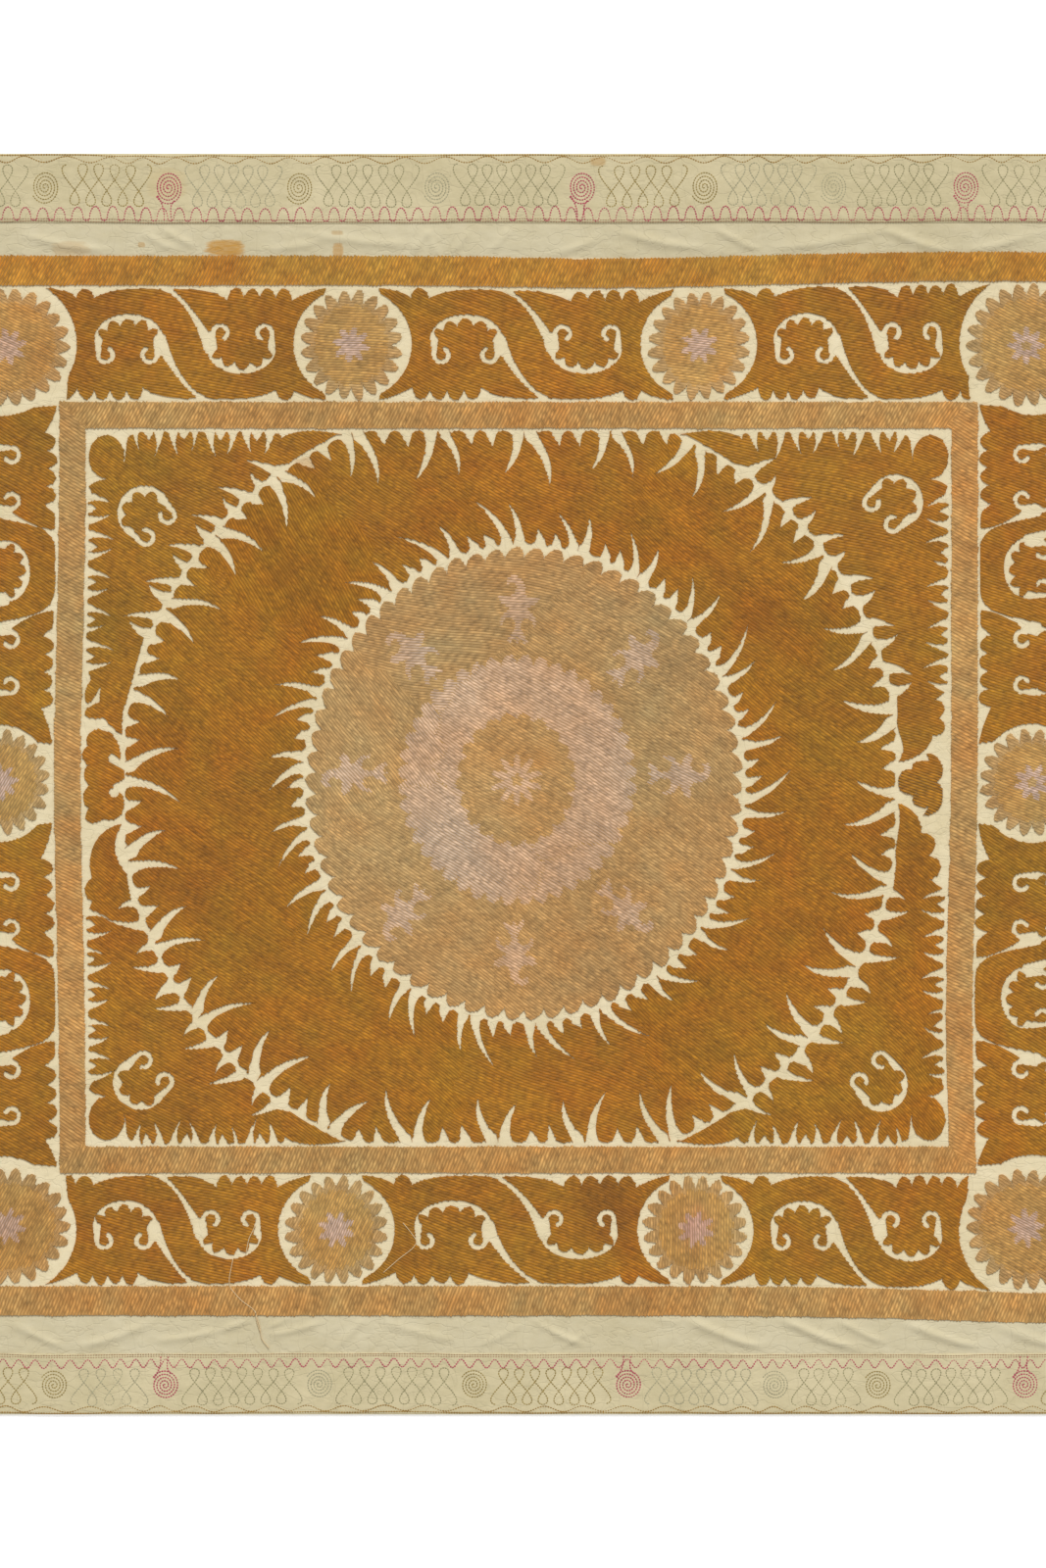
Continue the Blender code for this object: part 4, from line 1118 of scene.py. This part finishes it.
def flat_body(outlines, low, high):
    """Points and faces of a flat body between two heights, filled from its outlines as one 2D curve."""
    curve = bpy.data.curves.new("outline", "CURVE")
    curve.dimensions = "2D"
    curve.fill_mode = "BOTH"
    curve.extrude = (high - low) / 2 * MM
    for outline in outlines:
        spline = curve.splines.new("POLY")
        spline.points.add(len(outline) - 1)
        rest = np.tile([0.0, 1.0], (len(outline), 1))
        spline.points.foreach_set("co", np.column_stack([outline * MM, rest]).ravel())
        spline.use_cyclic_u = True
    drawing = in_scene("outline", curve)
    mesh = bpy.data.meshes.new_from_object(drawing.evaluated_get(bpy.context.evaluated_depsgraph_get()))
    points = np.empty(3 * len(mesh.vertices))
    mesh.vertices.foreach_get("co", points)
    points = points.reshape(-1, 3) / MM + (0.0, 0.0, (low + high) / 2)
    faces = [tuple(face.vertices) for face in mesh.polygons]
    bpy.data.objects.remove(drawing)
    bpy.data.curves.remove(curve)
    bpy.data.meshes.remove(mesh)
    return points, faces


def thread_piece(name, points, faces, tints, thread, material, smooth):
    """Mesh object in metres with point colours and thread coordinates."""
    mesh = bpy.data.meshes.new(name)
    mesh.from_pydata((points * MM).tolist(), [], faces)
    mesh.materials.append(material)
    colours = mesh.color_attributes.new("silk", "FLOAT_COLOR", "POINT")
    colours.data.foreach_set("color", np.column_stack([tints, np.ones(len(tints))]).ravel())
    corners = np.empty(len(mesh.loops), int)
    mesh.loops.foreach_get("vertex_index", corners)
    mesh.uv_layers.new(name="thread").data.foreach_set("uv", (thread * MM)[corners].ravel())
    mesh.polygons.foreach_set("use_smooth", smooth)
    thing = in_scene(name, mesh)
    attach(thing, "root")
    return thing


def silk_piece(name, slot, outlines):
    """One motif: its body and the rows of every field that belongs to it."""
    points, faces = flat_body(outlines, SILK_LOW, SILK_TOP)
    # The body is painted at 0.85 of the silk colour, as shade under and between the rows.
    tints = dyed(slot.removesuffix("_silk"), points[:, 0], points[:, 1], np.zeros(len(points))) * 0.85
    parts = [(points, tints, points[:, :2])]
    smooth = [False] * len(faces)
    for area, (owner, _, _) in enumerate(areas):
        if owner == name and (chart == area).any():
            more, quads, more_tints, thread = ridges(area)
            offset = sum(len(part[0]) for part in parts)
            faces += (quads + offset).tolist()
            smooth += [True] * len(quads)
            parts.append((more, more_tints, thread))
    points, tints, thread = (np.vstack([part[k] for part in parts]) for k in range(3))
    piece = thread_piece("silk_" + name, points, faces, tints, thread, silk, smooth)
    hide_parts(name)
    return piece


silk_pieces = [silk_piece(name, slot, outlines) for name, slot, outlines, _ in worked]
triangles = [sum(len(face.vertices) - 2 for face in piece.data.polygons) for piece in silk_pieces]
print("triangles in the silk:", sum(triangles), "and most in one piece:", max(triangles))

# %% [markdown]
# ## Cotton sheets
#
# A sheet is a closed skin over a grid: a top surface, an underside and a rim. The plain strip between
# the worked band and the trims is puckered by long soft folds, each a ridge along a line:
# height * exp(-(distance / width)^2), fading out towards its ends.

# %%
# Folds of the plain strip: from x, y to x, y, width and height.
FOLDS = (
    (-428, 634, -390, 614, 4, 1.1), (-403, 638, -368, 618, 4, 1.3), (-560, 630, -470, 612, 5, 1.5),
    (-300, 612, -215, 626, 5, 0.9), (-240, 634, -112, 620, 5, 1.2), (-99, 637, -118, 607, 3, 1.4),
    (-100, 637, -88, 608, 3, 1.0), (-74, 608, -52, 636, 3, 1.2), (-27, 612, -6, 640, 4, 1.2),
    (40, 606, 96, 628, 5, 1.3), (120, 634, 215, 616, 5, 1.5), (230, 640, 280, 614, 4, 1.3),
    (300, 616, 420, 636, 6, 1.2), (420, 640, 500, 612, 5, 1.5), (520, 612, 600, 634, 5, 1.2),
    (610, 636, 700, 614, 5, 1.4), (-700, 616, -600, 640, 5, 1.4),
    (-700, -618, -600, -650, 5, 1.6), (-580, -618, -520, -648, 4, 1.3), (-500, -648, -420, -620, 5, 1.5),
    (-410, -640, -338, -628, 4, 1.0), (-338, -629, -300, -612, 3.5, 1.4), (-282, -634, -222, -619, 4, 1.3),
    (-284, -625, -256, -611, 3, 1.1), (-206, -649, -172, -611, 3.5, 1.2), (-150, -618, -70, -640, 5, 1.0),
    (-40, -646, 10, -620, 4, 0.9), (24, -613, 36, -628, 3, 1.2), (36, -625, 76, -644, 3.5, 1.7),
    (50, -650, 84, -630, 3, 0.7), (196, -614, 288, -650, 5, 2.0), (304, -613, 396, -652, 5, 2.2),
    (371, -615, 424, -643, 4, 1.6), (150, -612, 190, -618, 4, 1.0), (450, -620, 540, -650, 5, 1.8),
    (560, -624, 640, -652, 5, 1.6), (650, -626, 705, -652, 5, 1.4),
    (-724, 520, -700, 430, 6, 1.5), (-700, 300, -722, 180, 6, 1.7), (-722, 40, -700, -80, 6, 1.4),
    (-700, -200, -724, -330, 6, 1.7), (-724, -420, -702, -540, 6, 1.4),
    (724, 520, 700, 430, 6, 1.5), (700, 290, 722, 170, 6, 1.7), (722, 30, 700, -90, 6, 1.4),
    (700, -210, 724, -330, 6, 1.7), (724, -420, 702, -540, 6, 1.4),
)


def in_strip(x, y):
    """1 in the middle of the plain strip, falling softly to 0 at the worked band and at the trims."""
    out_x = (np.abs(x) - OUTER_BAND["right"]) / (TRIM_IN["side"] - OUTER_BAND["right"])
    out_top = (y - OUTER_BAND["top"]) / (TRIM_IN["top"] - OUTER_BAND["top"])
    out_bottom = (OUTER_BAND["bottom"] - y) / (OUTER_BAND["bottom"] - TRIM_IN["bottom"])
    out = np.maximum(np.maximum(out_x, out_top), out_bottom)
    return np.clip(np.minimum(out + 0.08, 1.08 - out) * 3.0, 0.0, 1.0)


def fold_height(x, y):
    """Height of the folds over the flat cloth."""
    height = np.zeros_like(x)
    for first_x, first_y, last_x, last_y, width, tall in FOLDS:
        along = np.array([last_x - first_x, last_y - first_y], float)
        length = np.linalg.norm(along)
        along /= length
        s = (x - first_x) * along[0] + (y - first_y) * along[1]
        bow = 0.025 * length * np.sin(s / length * np.pi)
        d = (y - first_y) * along[0] - (x - first_x) * along[1] + bow
        fade = np.clip(np.minimum(s, length - s) / (0.3 * length) + 0.3, 0, 1)
        height += tall * fade * np.exp(-((d / width) ** 2))
    return height * in_strip(x, y)


def cloth_top(x, y):
    """Top of the ground cloth: folds in the strip and a slow unevenness that the silk hides."""
    unevenness = cloudy(x, y, 26.0, 12) + 0.5 * cloudy(x, y, 9.0, 13)
    return CLOTH_TOP + 1.5 * fold_height(x, y) + 0.3 * in_strip(x, y) * (1.5 + unevenness)


print("folds:", len(FOLDS), "tallest:", max(fold[5] for fold in FOLDS), "mm")

# %% [markdown]
# The grid is fine in the strip and coarse under the silk.

# %%
# Ground cloth and trims.
def stations(*stops):
    """Grid lines from (place, step) stops: each stretch is cut into equal steps near the step asked for."""
    lines = [np.array([stops[0][0]])]
    for (here, _), (there, step) in zip(stops[:-1], stops[1:]):
        count = max(1, int(round((there - here) / step)))
        lines.append(np.linspace(here, there, count + 1)[1:])
    return np.concatenate(lines)


def sheet_piece(name, x, y, top, bottom, material):
    """Closed sheet over a grid: top surface, underside and rim, all from whole arrays."""
    wide, high = x.shape[1], x.shape[0]
    upper = np.stack([x, y, top], axis=-1).reshape(-1, 3)
    lower = np.stack([x, y, bottom], axis=-1).reshape(-1, 3)
    index = np.arange(wide * high).reshape(high, wide)
    corners = (index[:-1, :-1], index[:-1, 1:], index[1:, 1:], index[1:, :-1])
    a, b, c, d = (corner.ravel() for corner in corners)
    rim = np.concatenate([index[0, :-1], index[:-1, -1], index[-1, :0:-1], index[:0:-1, 0]])
    after = np.roll(rim, -1)
    under = wide * high
    faces = np.vstack([
        np.column_stack([a, b, c, d]),
        np.column_stack([a, d, c, b]) + under,
        np.column_stack([rim, rim + under, after + under, after]),
    ])
    mesh = bpy.data.meshes.new(name)
    mesh.from_pydata((np.vstack([upper, lower]) * MM).tolist(), [], faces.tolist())
    mesh.materials.append(material)
    mesh.polygons.foreach_set("use_smooth", [True] * len(faces))
    mesh.set_sharp_from_angle(angle=1.0)
    thing = in_scene(name, mesh)
    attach(thing, "root")
    return thing


x_lines = stations((-805, 1), (-731, 15), (-690, 3.2), (-560, 6), (560, 3.4), (690, 6), (731, 3.2), (805, 15))
y_lines = stations((-725, 1), (-655, 15), (-609, 1.9), (605, 20), (646, 1.9), (725, 15))
grid_x, grid_y = np.meshgrid(x_lines, y_lines)
ground = sheet_piece("cotton_ground", grid_x, grid_y, cloth_top(grid_x, grid_y), 0.0 * grid_x, ground_cotton)
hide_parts("ground_cloth")
print("ground cloth triangles:", 2 * len(ground.data.polygons))

# %% [markdown]
# A trim is a strip of stiffer cotton with a turned edge: it is a little thicker along both long sides.
# Its inner edge wavers as the seam does.

# %%
# Trims.
TRIM_SIDES = {"top": 1, "bottom": -1, "left": -1, "right": 1}
LONG_TRIMS = ("top", "bottom")
ACROSS_TRIM = (0, 0.01, 0.04, 0.08, 0.14, 0.24, 0.36, 0.5, 0.64, 0.76, 0.86, 0.92, 0.96, 0.99, 1.0)


def seam_line(along, name):
    """How far a trim's inner edge strays from straight, at places along it."""
    return 1.3 * cloudy(along, 0.0 * along, 150.0, 21 + list(TRIM_SIDES).index(name))


def trim_top(u):
    """Height over a trim at share u across it, 0 at its outer edge: low at both rims, full between."""
    rim = np.minimum(u, 1 - u)
    return TRIM_TOP - 0.8 * np.exp(-rim / 0.014) + 0.18 * np.exp(-(((rim - 0.09) / 0.05) ** 2))


def trim_piece(name, side):
    """One trim as a sheet: s runs along it, and v across it from the outer edge to the seam."""
    node = "trim_" + name
    if name in LONG_TRIMS:
        ends, outer, inner = (-HALF_LENGTH, HALF_LENGTH), HALF_WIDTH, abs(TRIM_IN[name])
    else:
        ends, outer, inner = (TRIM_IN["bottom"] + 1, TRIM_IN["top"] - 1), HALF_LENGTH, TRIM_IN["side"]
    s, v = np.meshgrid(np.linspace(*ends, int((ends[1] - ends[0]) / 9)), ACROSS_TRIM)
    edge = inner + seam_line(s, name) * np.clip(np.minimum(s - ends[0], ends[1] - s) / 60.0, 0, 1)
    out = outer + (edge - outer) * v
    height = trim_top(v) + 0.12 * cloudy(s, out, 18.0, 31)
    x, y = (s, side * out) if name in LONG_TRIMS else (side * out, s)
    if (side > 0) == (name in LONG_TRIMS):
        x, y, height = x[::-1], y[::-1], height[::-1]
    piece = sheet_piece("cotton_" + node, x, y, height, 0.0 * x + CLOTH_TOP, trim_cotton)
    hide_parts(node)
    return piece


trims = {name: trim_piece(name, side) for name, side in TRIM_SIDES.items()}
print("trim triangles:", sum(2 * len(piece.data.polygons) for piece in trims.values()))

# %% [markdown]
# ## Chain stitches of the trims
#
# A line of stitches is a row of small raised drops along a path. Their paths are drawn in the trim's own
# plane: a along it and b across it, from the seam at 0 outward.

# %%
# Paths of the trim stitching.
LOOP_UNIT = 17.8
LOOP_MIDDLE = 43.0
LOOP_HALF = 24.0


def looped(first, last):
    """Interlaced drops above and below: a runs on by LOOP_UNIT a turn and swings back twice in it."""
    count = max(1, int(round((last - first) / LOOP_UNIT)))
    t = np.linspace(0.0, 2 * np.pi * count, 40 * count + 1)
    a = first + (last - first) * t / t[-1] - 7.8 * np.sin(2 * t)
    tall = LOOP_HALF * (1 + 0.05 * cloudy(a, 0 * a, 24.0, 41))
    return np.column_stack([a, LOOP_MIDDLE + tall * np.cos(t) + 1.2 * cloudy(a, 0 * a, 60.0, 42)])


def arched(first, last, unit, tall, power):
    """Row of arches that stand on the seam with gaps between: height tall * sin(pi t / 0.66)^power."""
    a = np.arange(first, last, 0.5)
    t = (a / unit + 0.12 * cloudy(a, 0 * a, 70.0, 43)) % 1.0
    high = tall * (1 + 0.12 * cloudy(a, 0 * a, 33.0, 44))
    return np.column_stack([a, 3.0 + high * np.sin(np.pi * np.clip(t / 0.66, 0, 1)) ** power])


def waved(first, last, middle, tall, unit):
    """Plain wave along the trim."""
    a = np.arange(first, last, 0.8)
    t = a / unit + 0.3 * cloudy(a, 0 * a, 90.0, 45)
    return np.column_stack([a, middle + tall * np.sin(2 * np.pi * t) + 0.8 * cloudy(a, 0 * a, 50.0, 46)])


def spiral(a, b, radius, turns, start):
    """Spiral from its middle outward, taller than it is wide."""
    t = np.linspace(0.06, 1.0, int(60 * turns))
    angle = np.radians(start) - 2 * np.pi * turns * (t - 1)
    return np.column_stack([a + radius * t * np.cos(angle), b + 1.2 * radius * t * np.sin(angle)])


def stem(a, b, radius):
    """Two lines that join a spiral to the arches below it."""
    left = bend((a - 5, 3), (a - 4, 14), (a - 7, b - radius - 2), (a - radius * 0.8, b - radius * 0.55), 20)
    right = bend((a + 4, 3), (a + 2, 12), (a + 1, b - radius - 3), (a + radius * 0.45, b - radius * 0.9), 20)
    return [left, right]


print("points in one drop unit:", len(looped(0.0, LOOP_UNIT)))

# %% [markdown]
# The spirals stand where they stand on the cloth. The long trims show three colours of them; the side
# trims, which lie outside the picture, carry the loops and the arches only.

# %%
# Stitch lines of every trim, by colour.
SPIRAL_HEIGHT = 41.0
SPIRAL_RADIUS = 16.0
SPIRALS = {
    "top": ((-540, "gold"), (-398, "pink"), (-248, "gold"), (-90, "cream"), (77, "pink"), (218, "gold"),
            (366, "cream"), (518, "pink"), (660, "gold")),
    "bottom": ((-690, "cream"), (-530, "gold"), (-402, "pink"), (-225, "cream"), (-47, "gold"), (130, "pink"),
               (299, "cream"), (417, "gold"), (586, "pink"), (720, "gold")),
    "left": (), "right": (),
}
THREAD = {
    "gold": (168, 146, 84), "cream": (188, 182, 148), "pink": (196, 88, 106), "rust": (176, 134, 98),
    "olive": (170, 163, 122), "ochre": (170, 132, 62),
}
# Waved lines of every trim: colour, height above the seam, swing and length of a wave.
WAVED_LINES = (
    ("ochre", 72.5, 3.6, 44.0), ("ochre", 77.5, 0.3, 90.0),
    ("rust", 1.4, 0.2, 80.0), ("rust", 4.2, 0.3, 130.0),
)
WIDE = {"gold": 1.9, "cream": 1.8, "pink": 2.2, "rust": 1.2, "olive": 1.7, "ochre": 2.1}


def trim_lines(name):
    """Stitch lines of one trim as (colour, path)."""
    half = HALF_LENGTH if name in LONG_TRIMS else 648.0
    run = (-half + 4, half - 4)
    middles = [a for a, _ in SPIRALS[name]]
    stops = [-half + 8.0] + [a + side * 25.0 for a in middles for side in (-1, 1)] + [half - 8.0]
    lines = []
    for k, (first, last) in enumerate(zip(stops[::2], stops[1::2])):
        if last - first > 12.0:
            lines.append((("olive", "gold", "cream", "olive")[k % 4], looped(first, last)))
    for a, colour in SPIRALS[name]:
        lines.append((colour, spiral(a, SPIRAL_HEIGHT, SPIRAL_RADIUS, 4.6, 210.0)))
        if colour == "pink":
            lines += [(colour, line) for line in stem(a, SPIRAL_HEIGHT, SPIRAL_RADIUS)]
    above_seam = waved(*run, 13.0, 6.0, 18.8) if name == "bottom" else arched(*run, 19.6, 15.5, 0.45)
    lines.append(("pink", above_seam))
    return lines + [(colour, waved(*run, *shape)) for colour, *shape in WAVED_LINES]


stitch_lines = {name: trim_lines(name) for name in trims}
print("lines of stitches:", sum(len(lines) for lines in stitch_lines.values()))

# %% [markdown]
# Each stitch is a drop: four points at the cloth and a raised one in the middle.

# %%
# Stitches as meshes.
STITCH_STEP = 3.0


def to_cloth(name, path):
    """Trim coordinates as places on the cloth."""
    a, b = path[:, 0], path[:, 1]
    side = TRIM_SIDES[name]
    if name in LONG_TRIMS:
        scale = (HALF_WIDTH - abs(TRIM_IN[name])) / 80.0
        return np.column_stack([a, TRIM_IN[name] + side * seam_line(a, name) + side * b * scale])
    return np.column_stack([side * (TRIM_IN["side"] + b * (74.0 / 80.0)), a])


def drops(path, colour, tall):
    """Stitch points, faces, light values and thread coordinates along one path."""
    way = Edge(path, False)
    count = max(1, int(way.length / STITCH_STEP))
    ends = way.at(np.linspace(0, way.length, count + 1))
    here, there = ends[:-1], ends[1:]
    along = there - here
    length = np.maximum(np.linalg.norm(along, axis=1, keepdims=True), 1e-6)
    across = np.column_stack([-along[:, 1], along[:, 0]]) / length
    middle = here + 0.55 * along
    luck = dice.uniform(-1, 1, count)
    half = (WIDE[colour] / 2 * (1 + 0.15 * luck))[:, None]
    flat = [here - 0.08 * along, middle - across * half, there + 0.02 * along, middle + across * half]
    points = [np.column_stack([part, np.full(count, TRIM_TOP)]) for part in flat]
    points.append(np.column_stack([middle, TRIM_TOP + 0.3 + tall * (1 + 0.2 * luck)]))
    points = np.stack(points, axis=1).reshape(-1, 3)
    first = 5 * np.arange(count)
    faces = np.vstack([np.column_stack([first + k, first + (k + 1) % 4, first + 4]) for k in range(4)])
    tint = light(THREAD[colour]) * (1 + 0.16 * dice.uniform(-1, 1, (count, 1)))
    # Painted shade and highlight: the four foot points of each drop are painted darker and its raised middle
    # brighter.
    tints = np.repeat(tint, 5, axis=0) * np.tile([[0.8], [0.86], [0.8], [0.86], [1.05]], (count, 1))
    return points, faces, np.clip(tints, 0, 1), points[:, :2]


def stitched(name, lines, tall):
    """One mesh with the stitches of many lines."""
    parts = [drops(path, colour, tall) for colour, path in lines]
    offsets = np.cumsum([0] + [len(part[0]) for part in parts])
    faces = np.vstack([part[1] + offset for part, offset in zip(parts, offsets)]).tolist()
    points, tints, thread = (np.vstack([part[k] for part in parts]) for k in (0, 2, 3))
    piece = thread_piece(name, points, faces, tints, thread, cotton_thread, [True] * len(faces))
    return piece


for name, lines in stitch_lines.items():
    on_cloth = [(colour, to_cloth(name, path)) for colour, path in lines]
    stitched("stitches_trim_" + name, on_cloth, 0.45)

# %% [markdown]
# A few threads have come loose and lie on the cloth: thin tubes along given points.

# %%
# Loose threads.
LOOSE = (
    ((-128.5, -504.6), (-120.6, -513.9), (-111.7, -526.3), (-117.2, -534.2), (-133.0, -546.0),
     (-151.0, -561.9)),
    ((-298.0, -506.8), (-301.5, -515.0), (-305.7, -522.7), (-308.8, -539.3)),
    ((-323.8, -546.0), (-328.3, -568.7), (-327.4, -579.3), (-314.4, -593.9), (-299.0, -605.0),
     (-293.0, -623.2), (-291.3, -637.9), (-282.3, -648.7)),
    ((-298.0, -606.0), (-296.5, -618.0), (-292.5, -630.0)),
)
LOOSE_RADIUS = 0.45
LOOSE_HEIGHT = 3.5


def strand(marks):
    """Points and faces of a thin tube with six sides along a smoothed path through the marks."""
    way = Edge(marks, False)
    path = way.at(np.linspace(0, way.length, int(way.length / 1.5)))
    for _ in range(6):
        path[1:-1] = (path[:-2] + 2 * path[1:-1] + path[2:]) / 4
    along = np.gradient(path, axis=0)
    across = np.column_stack([-along[:, 1], along[:, 0]]) / np.linalg.norm(along, axis=1)[:, None]
    angle = np.radians(60.0 * np.arange(6))
    ring = path[:, None, :] + across[:, None, :] * (LOOSE_RADIUS * np.cos(angle))[None, :, None]
    height = LOOSE_HEIGHT + LOOSE_RADIUS * np.sin(angle)[None, :] + 0.0 * ring[:, :, 0]
    points = np.concatenate([ring, height[:, :, None]], axis=2).reshape(-1, 3)
    first = np.repeat(6 * np.arange(len(path) - 1), 6)
    here = first + np.tile(np.arange(6), len(path) - 1)
    there = first + np.tile((np.arange(6) + 1) % 6, len(path) - 1)
    sides = np.column_stack([here, here + 6, there + 6, there]).tolist()
    last = len(points) - 6
    return points, sides + [tuple(range(6)), tuple(last + k for k in range(5, -1, -1))]


loose_points, loose_faces = [], []
for marks in LOOSE:
    points, faces = strand(marks)
    offset = sum(len(part) for part in loose_points)
    loose_faces += [tuple(k + offset for k in face) for face in faces]
    loose_points.append(points)
loose_points = np.vstack(loose_points)
loose_tints = np.tile(light((232, 206, 160)), (len(loose_points), 1))
loose_threads = thread_piece("loose_threads", loose_points, loose_faces, loose_tints, loose_points[:, :2],
                             cotton_thread, [True] * len(loose_faces))
print("loose threads:", len(LOOSE), "triangles:", 2 * len(loose_faces))

# %% [markdown]
# ## The floor
#
# The ground cloth lies on the floor with all the silk on it. Each trim lies on the ground cloth.

# %%
# Floor.
FLOOR_HALF = 25
FLOOR_HEIGHT = -0.0003

floor_mesh = bpy.data.meshes.new("pale_floor")
signs = ((-1, -1), (1, -1), (1, 1), (-1, 1))
floor_corners = [(x * FLOOR_HALF, y * FLOOR_HALF, FLOOR_HEIGHT) for x, y in signs]
floor_mesh.from_pydata(floor_corners, [], [(0, 1, 2, 3)])
floor = in_scene("pale_floor", floor_mesh)
white, shader, _ = new_material("pale_paper", 0.9, 0.0)
shader.inputs["Base Color"].default_value = (0.93, 0.93, 0.93, 1.0)
shader.inputs["Emission Color"].default_value = (1.0, 1.0, 1.0, 1.0)
shader.inputs["Emission Strength"].default_value = 0.35
floor_mesh.materials.append(white)

print("sheets:", 1 + len(trims))

# %% [markdown]
# ## Light and camera
#
# Even light from the far side rakes over the threads; a pale sky fills the shadows. The camera looks
# straight down from nine metres and frames what the photograph frames.

# %%
# Light and camera.
PICTURE_HIGH = 1.8032
PICTURE_X = 0.0096
CAMERA_HIGH = 9.0

window = bpy.data.lights.new("window", "SUN")
window.energy = 2.1
window.angle = 0.35
in_scene("window", window).rotation_euler = (-0.86, 0.22, 0.0)
world = bpy.data.worlds.new("pale_sky")
world.use_nodes = True
sky = world.node_tree.nodes["Background"].inputs
sky["Color"].default_value = (1.0, 1.0, 1.0, 1.0)
sky["Strength"].default_value = 0.5
bpy.context.scene.world = world
bpy.context.scene.view_settings.view_transform = "Standard"

camera_data = bpy.data.cameras.new("camera_above")
camera_data.sensor_width = 36.0
camera_data.lens = 36.0 * CAMERA_HIGH / PICTURE_HIGH
camera = in_scene("camera_above", camera_data)
camera.location = (PICTURE_X, 0.0, CAMERA_HIGH + SILK_TOP * MM)
bpy.context.scene.camera = camera
print("lens:", round(camera_data.lens, 1), "mm")
